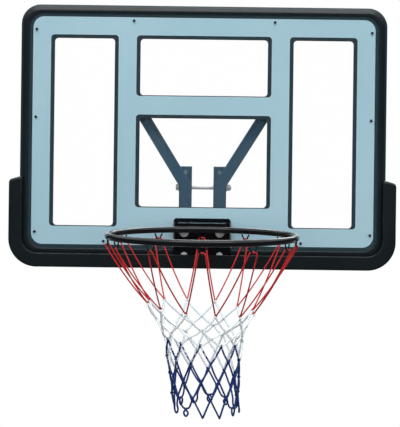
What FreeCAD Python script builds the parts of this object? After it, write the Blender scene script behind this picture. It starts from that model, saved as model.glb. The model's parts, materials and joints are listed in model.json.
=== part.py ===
import FreeCAD, Part
import math
import os
import re
import Sketcher
from FreeCAD import Placement, Rotation, Vector

# Basketball backboard with a sprung rim, its net and the rear ironwork that carries it.
# Millimetres. X runs to the right as a player sees the board, -Y points out of the board's face and
# +Z is up. The origin is the centre of the four mounting holes, on the rear faces of the two bars.
# Depths are counted forward from that mounting plane, so a depth of 98 lies at y = -98.

os.makedirs("parts", exist_ok=True)
doc = FreeCAD.newDocument("basketball_backboard")
sheet = doc.addObject("Spreadsheet::Sheet", "dims")

DIMENSIONS = {
    # Printed mask: four windows between blue-grey bands
    "mid_window_width": 384,
    "post_width": 51,
    "side_window_width": 192.4,
    "side_band_width": 50.6,
    "top_band_height": 50.6,
    "upper_window_height": 172.3,
    "mid_band_height": 52.7,
    "lower_window_height": 263.9,
    "bottom_band_height": 107,
    "side_bottom_band_height": 51.5,
    "window_radius": 10,
    "mask_radius": 31,
    "mask_thickness": 0.6,
    # Clear sheet and moulded frame
    "panel_thickness": 3.4,
    "panel_margin": 6,
    "panel_groove": 6,
    "border_width": 22.5,
    "frame_depth": 40,
    "frame_radius": 55,
    "frame_bevel_width": 16.5,
    "frame_bevel_depth": 6,
    "frame_bevel_round": 4,
    "frame_skin": 3,
    "frame_wall": 3,
    "lip_side": 11,
    "lip_top": 10,
    "lip_bottom": 2.5,
    "rim_block_width": 150,
    "rim_block_margin": 6,
    "strut_boss_size": 36,
    # Panel screws
    "screw_diameter": 4,
    "screw_head_diameter": 8,
    "screw_head_height": 2.4,
    "screw_length": 14,
    "screw_clearance": 0.3,
    "screw_inset": 10,
    "top_screw_spacing": 400,
    "bottom_screw_spacing": 560,
    "corner_screw_drop": 37,
    "corner_screw_rise": 35,
    "side_screw_drop": 286,
    # Bumper guard
    "guard_side_width": 27.2,
    "guard_bottom_width": 29.2,
    "guard_lip": 10,
    "guard_stand_out": 18,
    "guard_rise": 254,
    "guard_end_fall": 8,
    "guard_radius": 80,
    "guard_end_radius": 12,
    "guard_edge_radius": 7,
    "guard_clearance": 0.3,
    "guard_pocket_wall": 4,
    "guard_pocket_margin": 3,
    # Rear bars and struts
    "bar_spacing": 100,
    "bar_width": 37,
    "bar_depth": 38,
    "bar_wall": 2.5,
    "bar_rise": 171,
    "bar_drop": 104,
    "mount_above_ring": 54,
    "mount_hole_pitch": 200,
    "mount_hole_diameter": 11,
    "nut_access_diameter": 26,
    "strut_width": 32.5,
    "strut_depth": 20,
    "strut_wall": 2,
    "strut_bend": 116,
    "strut_drop": 100,
    "strut_screw_diameter": 8,
    "strut_screw_inset": 14.5,
    "strut_screw_rise": 52.3,
    "strut_screw_setback": 24,
    "strut_screw_flats": 13,
    "strut_screw_head": 5.3,
    "strut_screw_bite": 24,
    "strut_washer_diameter": 20,
    "strut_washer_thickness": 1.6,
    # Long tie bolt across the bars
    "tie_height": 110,
    "tie_diameter": 12,
    "tie_flats": 18,
    "tie_head": 7.5,
    "tie_nut": 10,
    "tie_spare": 3,
    "tie_washer_diameter": 24,
    "tie_washer_thickness": 2,
    # Ring and net hooks
    "ring_above_mask": 54,
    "ring_inner_diameter": 450,
    "ring_rod_diameter": 16,
    "ring_reach": 123,
    "weld_gap": 0.3,
    "hook_count": 12,
    "hook_wire": 4,
    "hook_half_width": 11,
    "hook_drop": 21,
    "hook_bend_radius": 5,
    # Rim base, bolted to the board
    "base_width": 162,
    "base_rise": 24,
    "base_drop": 88,
    "base_plate": 4,
    "base_radius": 9,
    "cheek_thickness": 4,
    "cheek_rise": 14,
    "cheek_reach": 26,
    "cheek_drop": 62,
    "pin_drop": 50,
    "pin_forward": 10,
    "pin_diameter": 10,
    "pin_clearance": 0.1,
    "clip_diameter": 18,
    "clip_thickness": 3,
    # Tipping carrier
    "carrier_side_gap": 10.5,
    "carrier_top": 16.7,
    "carrier_foot": 9,
    "carrier_plate": 3,
    "carrier_wall": 4,
    "carrier_wall_rise": 4,
    "carrier_rest_gap": 0.3,
    "carrier_horn": 15,
    "ear_radius": 9,
    "slot_clearance": 2.25,
    # Rim bolts and springs
    "rim_bolt_diameter": 10,
    "rim_bolt_clearance": 0.5,
    "rim_bolt_drop": 13,
    "rim_bolt_pitch": 67,
    "rim_bolt_flats": 17,
    "rim_bolt_head": 6.4,
    "rim_bolt_spare": 3,
    "rim_nut": 8.4,
    "rim_washer_diameter": 20,
    "rim_washer_thickness": 2,
    "shoulder_diameter": 12,
    "shoulder_length": 44,
    "spring_washer_diameter": 26,
    "spring_washer_thickness": 2.5,
    "spring_mean_diameter": 19,
    "spring_wire": 3,
    "spring_turns": 6,
    "spring_end_gap": 0.3,
    # Knotted net
    "net_length": 431,
    "cord_diameter": 4,
    "knot_diameter": 7,
    "knot_gap": 0.3,
    "loop_radius": 4.5,
}

for row, (alias, number) in enumerate(DIMENSIONS.items(), start=1):
    sheet.set(f"A{row}", alias)
    sheet.set(f"B{row}", str(number))
    sheet.setAlias(f"B{row}", alias)
doc.recompute()


def bound(expression):
    """Point each size's name at its cell in the sheet."""
    return re.sub(r"[a-z][a-z_]*", lambda word: cell(word.group(0)), str(expression))


def cell(word):
    return f"dims.{word}" if word in DIMENSIONS else word


def value(expression):
    return float(sheet.evalExpression(bound(expression)))


def vector(x, depth, z):
    return Vector(value(x), -value(depth), value(z))


# Heights and half widths of the board, from its windows outwards
RING_Z = "(-mount_above_ring)"
MASK_BOTTOM = f"({RING_Z} - ring_above_mask)"
LOWER_WINDOW_BOTTOM = f"({MASK_BOTTOM} + bottom_band_height)"
LOWER_WINDOW_TOP = f"({LOWER_WINDOW_BOTTOM} + lower_window_height)"
UPPER_WINDOW_BOTTOM = f"({LOWER_WINDOW_TOP} + mid_band_height)"
UPPER_WINDOW_TOP = f"({UPPER_WINDOW_BOTTOM} + upper_window_height)"
SIDE_WINDOW_BOTTOM = f"({MASK_BOTTOM} + side_bottom_band_height)"
MASK_TOP = f"({UPPER_WINDOW_TOP} + top_band_height)"
MID_WINDOW_HALF = "(mid_window_width / 2)"
SIDE_WINDOW_INNER = f"({MID_WINDOW_HALF} + post_width)"
SIDE_WINDOW_OUTER = f"({SIDE_WINDOW_INNER} + side_window_width)"
MASK_HALF = f"({SIDE_WINDOW_OUTER} + side_band_width)"
FRAME_MARGIN = "(panel_margin + panel_groove + border_width)"
FRAME_HALF = f"({MASK_HALF} + {FRAME_MARGIN})"
FRAME_BOTTOM = f"({MASK_BOTTOM} - {FRAME_MARGIN})"
FRAME_TOP = f"({MASK_TOP} + {FRAME_MARGIN})"

# Depths, forward from the mounting plane
FRAME_BACK = "(bar_depth + strut_depth)"
BOARD_FRONT = f"({FRAME_BACK} + frame_depth)"
PANEL_BACK = f"({BOARD_FRONT} - panel_thickness)"
RECESS_FLOOR = f"({PANEL_BACK} - mask_thickness)"
SKIN_BACK = f"({RECESS_FLOOR} - frame_skin)"
BASE_FRONT = f"({BOARD_FRONT} + base_plate)"
RING_RADIUS = "(ring_inner_diameter / 2 + ring_rod_diameter / 2)"
RING_DEPTH = f"({BOARD_FRONT} + ring_reach + {RING_RADIUS})"

# Bolt centres
BAR_X = "(bar_spacing / 2)"
UPPER_BOLT_Z = f"({RING_Z} - rim_bolt_drop)"
LOWER_BOLT_Z = f"({UPPER_BOLT_Z} - rim_bolt_pitch)"
BOLT_HOLE_RADIUS = "(rim_bolt_diameter / 2 + rim_bolt_clearance)"
SCREW_HOLE_RADIUS = "(screw_diameter / 2 + screw_clearance)"
PIN_DEPTH = f"({BASE_FRONT} + pin_forward)"
PIN_Z = f"({RING_Z} - pin_drop)"
PIN_HOLE_RADIUS = "(pin_diameter / 2 + pin_clearance)"

WINDOWS = [
    (f"-{MID_WINDOW_HALF}", MID_WINDOW_HALF, UPPER_WINDOW_BOTTOM, UPPER_WINDOW_TOP),
    (f"-{MID_WINDOW_HALF}", MID_WINDOW_HALF, LOWER_WINDOW_BOTTOM, LOWER_WINDOW_TOP),
    (f"-{SIDE_WINDOW_OUTER}", f"-{SIDE_WINDOW_INNER}", SIDE_WINDOW_BOTTOM, UPPER_WINDOW_TOP),
    (SIDE_WINDOW_INNER, SIDE_WINDOW_OUTER, SIDE_WINDOW_BOTTOM, UPPER_WINDOW_TOP),
]
SIDES = {"left": "-", "right": ""}


# Drawing on the board's plane: every point and radius is tied to the sheet
def fix_point(sketch, curve, point, across, up):
    """Tie one point of a curve to its distances from the origin."""
    for kind, distance in (("DistanceX", across), ("DistanceY", up)):
        if distance is None:
            continue
        rule = sketch.addConstraint(Sketcher.Constraint(kind, -1, 1, curve, point, value(distance)))
        sketch.setExpression(f"Constraints[{rule}]", bound(distance))


def draw_polygon(sketch, corners):
    places = [Vector(value(across), value(up), 0) for across, up in corners]
    first = sketch.GeometryCount
    count = len(corners)
    for index in range(count):
        sketch.addGeometry(Part.LineSegment(places[index], places[(index + 1) % count]))
    for index, (across, up) in enumerate(corners):
        following = first + (index + 1) % count
        sketch.addConstraint(Sketcher.Constraint("Coincident", first + index, 2, following, 1))
        fix_point(sketch, first + index, 1, across, up)


def draw_circle(sketch, across, up, radius):
    middle = Vector(value(across), value(up), 0)
    curve = sketch.addGeometry(Part.Circle(middle, Vector(0, 0, 1), value(radius)))
    rule = sketch.addConstraint(Sketcher.Constraint("Radius", curve, value(radius)))
    sketch.setExpression(f"Constraints[{rule}]", bound(radius))
    fix_point(sketch, curve, 3, across, up)


def draw_rounded(sketch, left, right, bottom, top, radius):
    """A rectangle whose four corners share one radius."""
    x0, x1, z0, z1, bend = (value(size) for size in (left, right, bottom, top, radius))
    runs = [
        ((x0 + bend, z0), (x1 - bend, z0)),
        ((x1, z0 + bend), (x1, z1 - bend)),
        ((x1 - bend, z1), (x0 + bend, z1)),
        ((x0, z1 - bend), (x0, z0 + bend)),
    ]
    bends = [(x1 - bend, z0 + bend), (x1 - bend, z1 - bend), (x0 + bend, z1 - bend), (x0 + bend, z0 + bend)]
    quarter = math.pi / 2
    lines = []
    arcs = []
    for index, (start, end) in enumerate(runs):
        lines.append(sketch.addGeometry(Part.LineSegment(Vector(*start, 0), Vector(*end, 0))))
        corner = Part.Circle(Vector(*bends[index], 0), Vector(0, 0, 1), bend)
        arcs.append(sketch.addGeometry(
            Part.ArcOfCircle(corner, (index - 1) * quarter, index * quarter)))
    for index in range(4):
        level = "Horizontal" if index % 2 == 0 else "Vertical"
        sketch.addConstraint(Sketcher.Constraint(level, lines[index]))
        sketch.addConstraint(Sketcher.Constraint("Tangent", lines[index], 2, arcs[index], 1))
        sketch.addConstraint(Sketcher.Constraint("Tangent", arcs[index], 2, lines[(index + 1) % 4], 1))
    for arc in arcs[1:]:
        sketch.addConstraint(Sketcher.Constraint("Equal", arcs[0], arc))
    rule = sketch.addConstraint(Sketcher.Constraint("Radius", arcs[0], bend))
    sketch.setExpression(f"Constraints[{rule}]", bound(radius))
    fix_point(sketch, lines[0], 1, None, bottom)
    fix_point(sketch, lines[1], 1, right, None)
    fix_point(sketch, lines[2], 1, None, top)
    fix_point(sketch, lines[3], 1, left, None)


# Building bodies feature by feature
def new_body(label):
    body = doc.addObject("PartDesign::Body", label)
    body.Label = label
    return body


def new_sketch(body, name, role, offset, shapes):
    """A sketch on one of the body's own planes, moved along the plane's normal."""
    sketch = body.newObject("Sketcher::SketchObject", name)
    plane = next(item for item in body.Origin.OriginFeatures if item.Role == role)
    sketch.AttachmentSupport = [(plane, "")]
    sketch.MapMode = "FlatFace"
    sketch.setExpression("AttachmentOffset.Base.z", bound(offset))
    for draw, *sizes in shapes:
        draw(sketch, *sizes)
    return sketch


def pad(body, name, depth, length, shapes, role="XZ_Plane"):
    """Add material forward from a depth (or along +X on the YZ plane)."""
    feature = body.newObject("PartDesign::Pad", name)
    feature.Profile = new_sketch(body, f"{name}_sketch", role, depth, shapes)
    feature.setExpression("Length", bound(length))
    doc.recompute()
    return feature


def pocket(body, name, depth, length, shapes):
    """Remove material forward from a depth, and make sure that something was removed."""
    before = body.Shape.Volume
    feature = body.newObject("PartDesign::Pocket", name)
    feature.Profile = new_sketch(body, f"{name}_sketch", "XZ_Plane", depth, shapes)
    feature.setExpression("Length", bound(length))
    feature.Reversed = True
    doc.recompute()
    if not body.Shape.Volume < before:
        raise RuntimeError(f"{name} removes nothing")
    return feature


def edge_names(shape, chosen):
    return [f"Edge{index}" for index, edge in enumerate(shape.Edges, start=1) if chosen(edge)]


def round_edges(body, name, radius, chosen):
    """Round the edges of the body's tip that pass the test."""
    base = body.Tip
    feature = body.newObject("PartDesign::Fillet", name)
    feature.Base = (base, edge_names(base.Shape, chosen))
    feature.setExpression("Radius", bound(radius))
    doc.recompute()
    return feature


def bevel_edges(body, name, width, depth, chosen):
    """Slope the body's front off, by a width on its face and a depth down its sides."""
    base = body.Tip
    feature = body.newObject("PartDesign::Chamfer", name)
    feature.Base = (base, edge_names(base.Shape, chosen))
    feature.ChamferType = "Two distances"
    feature.setExpression("Size", bound(depth))
    feature.setExpression("Size2", bound(width))
    doc.recompute()
    return feature


SAME_PLACE = 1e-6


def lies_at_height(edge, height):
    box = edge.BoundBox
    place = value(height)
    return abs(box.ZMin - place) < SAME_PLACE and abs(box.ZMax - place) < SAME_PLACE


def runs_forward(edge):
    return edge.BoundBox.XLength < SAME_PLACE and edge.BoundBox.ZLength < SAME_PLACE


def lies_at_depth(edge, depth):
    box = edge.BoundBox
    place = -value(depth)
    return abs(box.YMin - place) < SAME_PLACE and abs(box.YMax - place) < SAME_PLACE


# Simple solids, placed by depth
TO_FRONT = Rotation(Vector(1, 0, 0), 90)
TO_RIGHT = Rotation(Vector(0, 1, 0), 90)


def place_at(solid, x, depth, z, rotation=None):
    solid.Placement = Placement(Vector(), rotation or Rotation())
    solid.setExpression("Placement.Base.x", bound(x))
    solid.setExpression("Placement.Base.y", bound(f"-({depth})"))
    solid.setExpression("Placement.Base.z", bound(z))
    return solid


def block(name, left, right, back, front, bottom, top):
    solid = doc.addObject("Part::Box", name)
    solid.setExpression("Length", bound(f"{right} - ({left})"))
    solid.setExpression("Width", bound(f"{front} - ({back})"))
    solid.setExpression("Height", bound(f"{top} - ({bottom})"))
    return place_at(solid, left, front, bottom)


def rod(name, radius, length, x, depth, z, rotation=TO_FRONT):
    solid = doc.addObject("Part::Cylinder", name)
    solid.setExpression("Radius", bound(radius))
    solid.setExpression("Height", bound(length))
    return place_at(solid, x, depth, z, rotation)


def hexagon(name, flats, length, x, depth, z, rotation=TO_FRONT):
    solid = doc.addObject("Part::Prism", name)
    solid.Polygon = 6
    solid.setExpression("Circumradius", bound(f"{flats} / sqrt(3)"))
    solid.setExpression("Height", bound(length))
    return place_at(solid, x, depth, z, rotation)


def join(label, solids):
    union = doc.addObject("Part::MultiFuse", label)
    union.Shapes = solids
    union.Label = label
    return union


def cut(label, base, tools):
    difference = doc.addObject("Part::Cut", label)
    difference.Base = base
    difference.Tool = tools[0] if len(tools) == 1 else join(f"{label}_tools", tools)
    difference.Label = label
    return difference


def group(label, solids):
    """Like pieces that share one node but stay separate solids."""
    compound = doc.addObject("Part::Compound", label)
    compound.Links = solids
    compound.Label = label
    return compound


def shaped(label, shape):
    feature = doc.addObject("Part::Feature", label)
    feature.Shape = shape
    feature.Label = label
    return feature


def washer(name, outer, bore, thickness, x, depth, z, rotation=TO_FRONT):
    disc = rod(f"{name}_disc", f"{outer} / 2", thickness, x, depth, z, rotation)
    hole = rod(f"{name}_hole", bore, thickness, x, depth, z, rotation)
    return cut(name, disc, [hole])


def nut(name, flats, bore, height, x, depth, z, rotation=TO_FRONT):
    body = hexagon(f"{name}_hexagon", flats, height, x, depth, z, rotation)
    hole = rod(f"{name}_hole", bore, height, x, depth, z, rotation)
    return cut(name, body, [hole])


PARTS = []

# Moulded frame: a tray with four windows, open at the back, with walls round its rim and its windows
SCREW_PLACES = []
for side in SIDES.values():
    edge_x = f"{side}({MASK_HALF} - screw_inset)"
    SCREW_PLACES += [
        (edge_x, f"{MASK_TOP} - corner_screw_drop"),
        (edge_x, f"{MASK_TOP} - side_screw_drop"),
        (edge_x, f"{MASK_BOTTOM} + corner_screw_rise"),
        (f"{side}top_screw_spacing / 2", f"{MASK_TOP} - screw_inset"),
        (f"{side}bottom_screw_spacing / 2", f"{MASK_BOTTOM} + screw_inset"),
    ]
UPPER_BOLTS = [(f"{side}{BAR_X}", UPPER_BOLT_Z) for side in SIDES.values()]
LOWER_BOLTS = [(f"{side}{BAR_X}", LOWER_BOLT_Z) for side in SIDES.values()]
RIM_BOLTS = UPPER_BOLTS + LOWER_BOLTS
STRUT_BEND_Z = f"({RING_Z} + strut_bend)"
STRUT_SCREW_X = f"({MID_WINDOW_HALF} + strut_screw_inset)"
STRUT_SCREW_Z = f"({LOWER_WINDOW_TOP} + strut_screw_rise)"
STRUT_ANGLE = f"atan(({STRUT_SCREW_X} - {BAR_X}) / ({STRUT_SCREW_Z} - {STRUT_BEND_Z}))"


def round_holes(places, radius):
    return [(draw_circle, across, up, radius) for across, up in places]


def around(outline, margin, radius):
    """A rounded rectangle drawn a margin outside the given one."""
    left, right, bottom, top = outline
    return (draw_rounded, f"{left} - ({margin})", f"{right} + {margin}", f"{bottom} - ({margin})",
            f"{top} + {margin}", f"{radius} + {margin}")


MASK_OUTLINE = (f"-{MASK_HALF}", MASK_HALF, MASK_BOTTOM, MASK_TOP)
FRAME_OUTLINE = (f"-{FRAME_HALF}", FRAME_HALF, FRAME_BOTTOM, FRAME_TOP)
window_shapes = [(draw_rounded, *window, "window_radius") for window in WINDOWS]
lip_shapes = [
    (draw_rounded, f"{left} + lip_side", f"{right} - lip_side", f"{bottom} + lip_bottom",
     f"{top} - lip_top", "window_radius")
    for left, right, bottom, top in WINDOWS
]
wall_shapes = [around(window, "frame_wall", "window_radius") for window in WINDOWS]

frame = new_body("backboard_frame")
pad(frame, "frame_slab", FRAME_BACK, "frame_depth", [(draw_rounded, *FRAME_OUTLINE, "frame_radius")])
bevel_edges(frame, "frame_bevel", "frame_bevel_width", "frame_bevel_depth",
            lambda edge: lies_at_depth(edge, BOARD_FRONT))
round_edges(frame, "frame_edges", "frame_bevel_round",
            lambda edge: lies_at_depth(edge, f"({BOARD_FRONT} - frame_bevel_depth)"))
pocket(frame, "panel_recess", RECESS_FLOOR, f"{BOARD_FRONT} - {RECESS_FLOOR}",
       [around(MASK_OUTLINE, "(panel_margin + panel_groove)", "mask_radius")])
pocket(frame, "frame_windows", FRAME_BACK, "frame_depth", lip_shapes)
pocket(frame, "window_backs", FRAME_BACK, f"{SKIN_BACK} - {FRAME_BACK}", window_shapes)
pocket(frame, "frame_hollow", FRAME_BACK, f"{SKIN_BACK} - {FRAME_BACK}",
       [around(FRAME_OUTLINE, "-frame_wall", "frame_radius")] + wall_shapes)
pad(frame, "rim_block", FRAME_BACK, f"{SKIN_BACK} - {FRAME_BACK}", [
    (draw_polygon, [
        ("-rim_block_width / 2", f"{FRAME_BOTTOM} + frame_wall / 2"),
        ("rim_block_width / 2", f"{FRAME_BOTTOM} + frame_wall / 2"),
        ("rim_block_width / 2", f"{LOWER_WINDOW_BOTTOM} - rim_block_margin"),
        ("-rim_block_width / 2", f"{LOWER_WINDOW_BOTTOM} - rim_block_margin"),
    ]),
])
for name, side in SIDES.items():
    pad(frame, f"{name}_strut_boss", FRAME_BACK, f"{SKIN_BACK} - {FRAME_BACK}", [
        (draw_circle, f"{side}{STRUT_SCREW_X}", STRUT_SCREW_Z, "strut_boss_size / 2"),
    ])
pocket(frame, "strut_screw_holes", FRAME_BACK, "strut_screw_bite",
       round_holes([(f"{side}{STRUT_SCREW_X}", STRUT_SCREW_Z) for side in SIDES.values()],
                   "strut_screw_diameter / 2"))
pocket(frame, "frame_screw_holes", SKIN_BACK, "frame_skin",
       round_holes(SCREW_PLACES, "screw_diameter / 2"))
pocket(frame, "frame_bolt_holes", FRAME_BACK, "frame_depth", round_holes(RIM_BOLTS, BOLT_HOLE_RADIUS))
PARTS.append(frame)

# Printed mask and the clear sheet in front of it
mask = new_body("printed_mask")
pad(mask, "mask_sheet", RECESS_FLOOR, "mask_thickness", [(draw_rounded, *MASK_OUTLINE, "mask_radius")])
pocket(mask, "mask_windows", RECESS_FLOOR, "mask_thickness", window_shapes)
pocket(mask, "mask_screw_holes", RECESS_FLOOR, "mask_thickness",
       round_holes(SCREW_PLACES, SCREW_HOLE_RADIUS))
pocket(mask, "mask_bolt_holes", RECESS_FLOOR, "mask_thickness",
       round_holes(UPPER_BOLTS, BOLT_HOLE_RADIUS))
PARTS.append(mask)

panel = new_body("clear_panel")
pad(panel, "panel_sheet", PANEL_BACK, "panel_thickness",
    [around(MASK_OUTLINE, "panel_margin", "mask_radius")])
pocket(panel, "panel_screw_holes", PANEL_BACK, "panel_thickness",
       round_holes(SCREW_PLACES, SCREW_HOLE_RADIUS))
pocket(panel, "panel_bolt_holes", PANEL_BACK, "panel_thickness",
       round_holes(UPPER_BOLTS, BOLT_HOLE_RADIUS))
PARTS.append(panel)

# Pan-head screws that hold the sheet and the mask to the frame
screws = []
for index, (across, up) in enumerate(SCREW_PLACES, start=1):
    shank = rod(f"screw_shank_{index}", "screw_diameter / 2", "screw_length", across,
                f"{BOARD_FRONT} - screw_length", up)
    head = rod(f"screw_head_{index}", "screw_head_diameter / 2", "screw_head_height", across,
               BOARD_FRONT, up)
    screws.append(join(f"panel_screw_{index}", [shank, head]))
PARTS.append(group("panel_screws", screws))

# Bumper guard: a moulded U that wraps the frame's bottom and lower sides, with a lip over its face
GUARD_HALF = f"({FRAME_HALF} + guard_side_width)"
GUARD_BOTTOM = f"({FRAME_BOTTOM} - guard_bottom_width)"
GUARD_END = f"({GUARD_BOTTOM} + guard_rise)"
GUARD_OUTER_END = f"({GUARD_END} - guard_end_fall)"
GUARD_OVER = f"({GUARD_END} + 2 * guard_radius)"
GUARD_FRONT = f"({BOARD_FRONT} + guard_stand_out)"
POCKET_HALF = "(base_width / 2 + guard_pocket_margin)"
guard = new_body("bumper_guard")
pad(guard, "guard_slab", FRAME_BACK, f"{GUARD_FRONT} - {FRAME_BACK}",
    [(draw_rounded, f"-{GUARD_HALF}", GUARD_HALF, GUARD_BOTTOM, GUARD_OVER, "guard_radius")])
pocket(guard, "guard_ends", FRAME_BACK, f"{GUARD_FRONT} - {FRAME_BACK}", [
    (draw_polygon, [
        (f"-{GUARD_HALF} - guard_side_width", f"{GUARD_OUTER_END} - guard_end_fall"),
        (f"-{FRAME_HALF}", GUARD_END),
        (FRAME_HALF, GUARD_END),
        (f"{GUARD_HALF} + guard_side_width", f"{GUARD_OUTER_END} - guard_end_fall"),
        (f"{GUARD_HALF} + guard_side_width", f"{GUARD_OVER} + guard_side_width"),
        (f"-{GUARD_HALF} - guard_side_width", f"{GUARD_OVER} + guard_side_width"),
    ]),
])
round_edges(guard, "guard_end_corners", "guard_end_radius",
            lambda edge: runs_forward(edge) and lies_at_height(edge, GUARD_OUTER_END))
round_edges(guard, "guard_edges", "guard_edge_radius", lambda edge: lies_at_depth(edge, GUARD_FRONT))
pocket(guard, "guard_seat", FRAME_BACK, "frame_depth + guard_clearance",
       [around(FRAME_OUTLINE, "guard_clearance", "frame_radius")])
pocket(guard, "guard_mouth", FRAME_BACK, f"{GUARD_FRONT} - {FRAME_BACK}",
       [around(FRAME_OUTLINE, "-guard_lip", "frame_radius")])
pocket(guard, "guard_rim_pocket", BOARD_FRONT, "guard_stand_out - guard_pocket_wall", [
    (draw_polygon, [
        (f"-{POCKET_HALF}", f"{RING_Z} - base_drop - guard_pocket_margin"),
        (POCKET_HALF, f"{RING_Z} - base_drop - guard_pocket_margin"),
        (POCKET_HALF, f"{FRAME_BOTTOM} + guard_lip + guard_pocket_margin"),
        (f"-{POCKET_HALF}", f"{FRAME_BOTTOM} + guard_lip + guard_pocket_margin"),
    ]),
])
PARTS.append(guard)

# Two square bars with the mounting holes; large rear holes give room for a socket on the rim's nuts
BAR_BOTTOM = f"({RING_Z} - bar_drop)"
BAR_TOP = f"({RING_Z} + bar_rise)"
BAR_OUTER = f"({BAR_X} + bar_width / 2)"
TIE_Z = f"({RING_Z} + tie_height)"
TIE_HOLE_RADIUS = "(tie_diameter / 2 + rim_bolt_clearance)"
MOUNT_HOLE_RADIUS = "(mount_hole_diameter / 2)"
for name, side in SIDES.items():
    middle = f"{side}{BAR_X}"
    tube = block(f"{name}_bar_tube", f"{middle} - bar_width / 2", f"{middle} + bar_width / 2",
                 "0", "bar_depth", BAR_BOTTOM, BAR_TOP)
    bore = block(f"{name}_bar_bore", f"{middle} - bar_width / 2 + bar_wall",
                 f"{middle} + bar_width / 2 - bar_wall", "bar_wall", "bar_depth - bar_wall",
                 BAR_BOTTOM, BAR_TOP)
    holes = [bore]
    holes.append(rod(f"{name}_bar_upper_mount_hole", MOUNT_HOLE_RADIUS, "bar_depth", middle, "0",
                     "mount_hole_pitch / 2"))
    holes.append(rod(f"{name}_bar_lower_mount_hole", MOUNT_HOLE_RADIUS, "bar_depth / 2", middle, "0",
                     "-mount_hole_pitch / 2"))
    holes.append(rod(f"{name}_bar_tie_hole", TIE_HOLE_RADIUS, "bar_width", f"{middle} - bar_width / 2",
                     "bar_depth / 2", TIE_Z, TO_RIGHT))
    for place, height in (("upper", UPPER_BOLT_Z), ("lower", LOWER_BOLT_Z)):
        holes.append(rod(f"{name}_bar_{place}_bolt_hole", BOLT_HOLE_RADIUS, "bar_depth", middle, "0",
                         height))
        holes.append(rod(f"{name}_bar_{place}_nut_hole", "nut_access_diameter / 2", "bar_depth / 2",
                         middle, "0", height))
    PARTS.append(cut(f"{name}_mount_bar", tube, holes))

# Two bent struts from the rim block up to the frame's posts
def strut_outline(side, half, overrun):
    """The bent strip's outline, with both ends run out by a length."""
    past_screw = f"(strut_screw_setback + {overrun})"
    end_x = f"({STRUT_SCREW_X} + {past_screw} * sin({STRUT_ANGLE}))"
    end_z = f"({STRUT_SCREW_Z} + {past_screw} * cos({STRUT_ANGLE}))"
    foot_z = f"{RING_Z} - strut_drop - {overrun}"
    mitre = f"{half} * tan({STRUT_ANGLE} / 2)"
    corners = [
        (f"{BAR_X} - {half}", foot_z),
        (f"{BAR_X} + {half}", foot_z),
        (f"{BAR_X} + {half}", f"{STRUT_BEND_Z} - {mitre}"),
        (f"{end_x} + {half} * cos({STRUT_ANGLE})", f"{end_z} - {half} * sin({STRUT_ANGLE})"),
        (f"{end_x} - {half} * cos({STRUT_ANGLE})", f"{end_z} + {half} * sin({STRUT_ANGLE})"),
        (f"{BAR_X} - {half}", f"{STRUT_BEND_Z} + {mitre}"),
    ]
    return [(f"{side}({across})", up) for across, up in corners]


for name, side in SIDES.items():
    strut = new_body(f"{name}_strut")
    bolt_places = [(f"{side}{BAR_X}", height) for height in (UPPER_BOLT_Z, LOWER_BOLT_Z)]
    pad(strut, f"{name}_strut_tube", "bar_depth", "strut_depth",
        [(draw_polygon, strut_outline(side, "(strut_width / 2)", "0"))])
    pocket(strut, f"{name}_strut_bore", "bar_depth + strut_wall", "strut_depth - 2 * strut_wall",
           [(draw_polygon, strut_outline(side, "(strut_width / 2 - strut_wall)", "strut_wall"))])
    pocket(strut, f"{name}_strut_bolt_holes", "bar_depth", "strut_depth",
           round_holes(bolt_places, BOLT_HOLE_RADIUS))
    pocket(strut, f"{name}_strut_screw_hole", "bar_depth", "strut_depth",
           round_holes([(f"{side}{STRUT_SCREW_X}", STRUT_SCREW_Z)],
                       "strut_screw_diameter / 2 + screw_clearance"))
    PARTS.append(strut)

# Hex screws and washers that hold the struts' upper ends to the frame's bosses
strut_screws = []
strut_washers = []
STRUT_SCREW_HEAD_DEPTH = "(bar_depth - strut_washer_thickness)"
for name, side in SIDES.items():
    across = f"{side}{STRUT_SCREW_X}"
    shank = rod(f"{name}_strut_screw_shank", "strut_screw_diameter / 2",
                "strut_washer_thickness + strut_depth + strut_screw_bite", across,
                STRUT_SCREW_HEAD_DEPTH, STRUT_SCREW_Z)
    head = hexagon(f"{name}_strut_screw_head", "strut_screw_flats", "strut_screw_head", across,
                   f"{STRUT_SCREW_HEAD_DEPTH} - strut_screw_head", STRUT_SCREW_Z)
    strut_screws.append(join(f"{name}_strut_screw", [shank, head]))
    strut_washers.append(washer(f"{name}_strut_washer", "strut_washer_diameter",
                                "(strut_screw_diameter / 2 + screw_clearance)",
                                "strut_washer_thickness", across, STRUT_SCREW_HEAD_DEPTH, STRUT_SCREW_Z))
PARTS.append(group("strut_screws", strut_screws))
PARTS.append(group("strut_washers", strut_washers))

# Long zinc bolt across both bars, head on the left and nut on the right
TIE_DEPTH = "bar_depth / 2"
TIE_LEFT = f"(-{BAR_OUTER} - tie_washer_thickness)"
TIE_RIGHT = f"({BAR_OUTER} + tie_washer_thickness)"
tie_shank = rod("tie_shank", "tie_diameter / 2", f"{TIE_RIGHT} + tie_nut + tie_spare - {TIE_LEFT}",
                TIE_LEFT, TIE_DEPTH, TIE_Z, TO_RIGHT)
tie_head = hexagon("tie_head", "tie_flats", "tie_head", f"{TIE_LEFT} - tie_head", TIE_DEPTH, TIE_Z,
                   TO_RIGHT)
PARTS.append(join("tie_bolt", [tie_shank, tie_head]))
PARTS.append(nut("tie_nut", "tie_flats", "(tie_diameter / 2)", "tie_nut", TIE_RIGHT, TIE_DEPTH, TIE_Z,
                 TO_RIGHT))
PARTS.append(group("tie_washers", [
    washer("left_tie_washer", "tie_washer_diameter", TIE_HOLE_RADIUS, "tie_washer_thickness", TIE_LEFT,
           TIE_DEPTH, TIE_Z, TO_RIGHT),
    washer("right_tie_washer", "tie_washer_diameter", TIE_HOLE_RADIUS, "tie_washer_thickness", BAR_OUTER,
           TIE_DEPTH, TIE_Z, TO_RIGHT),
]))

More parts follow.
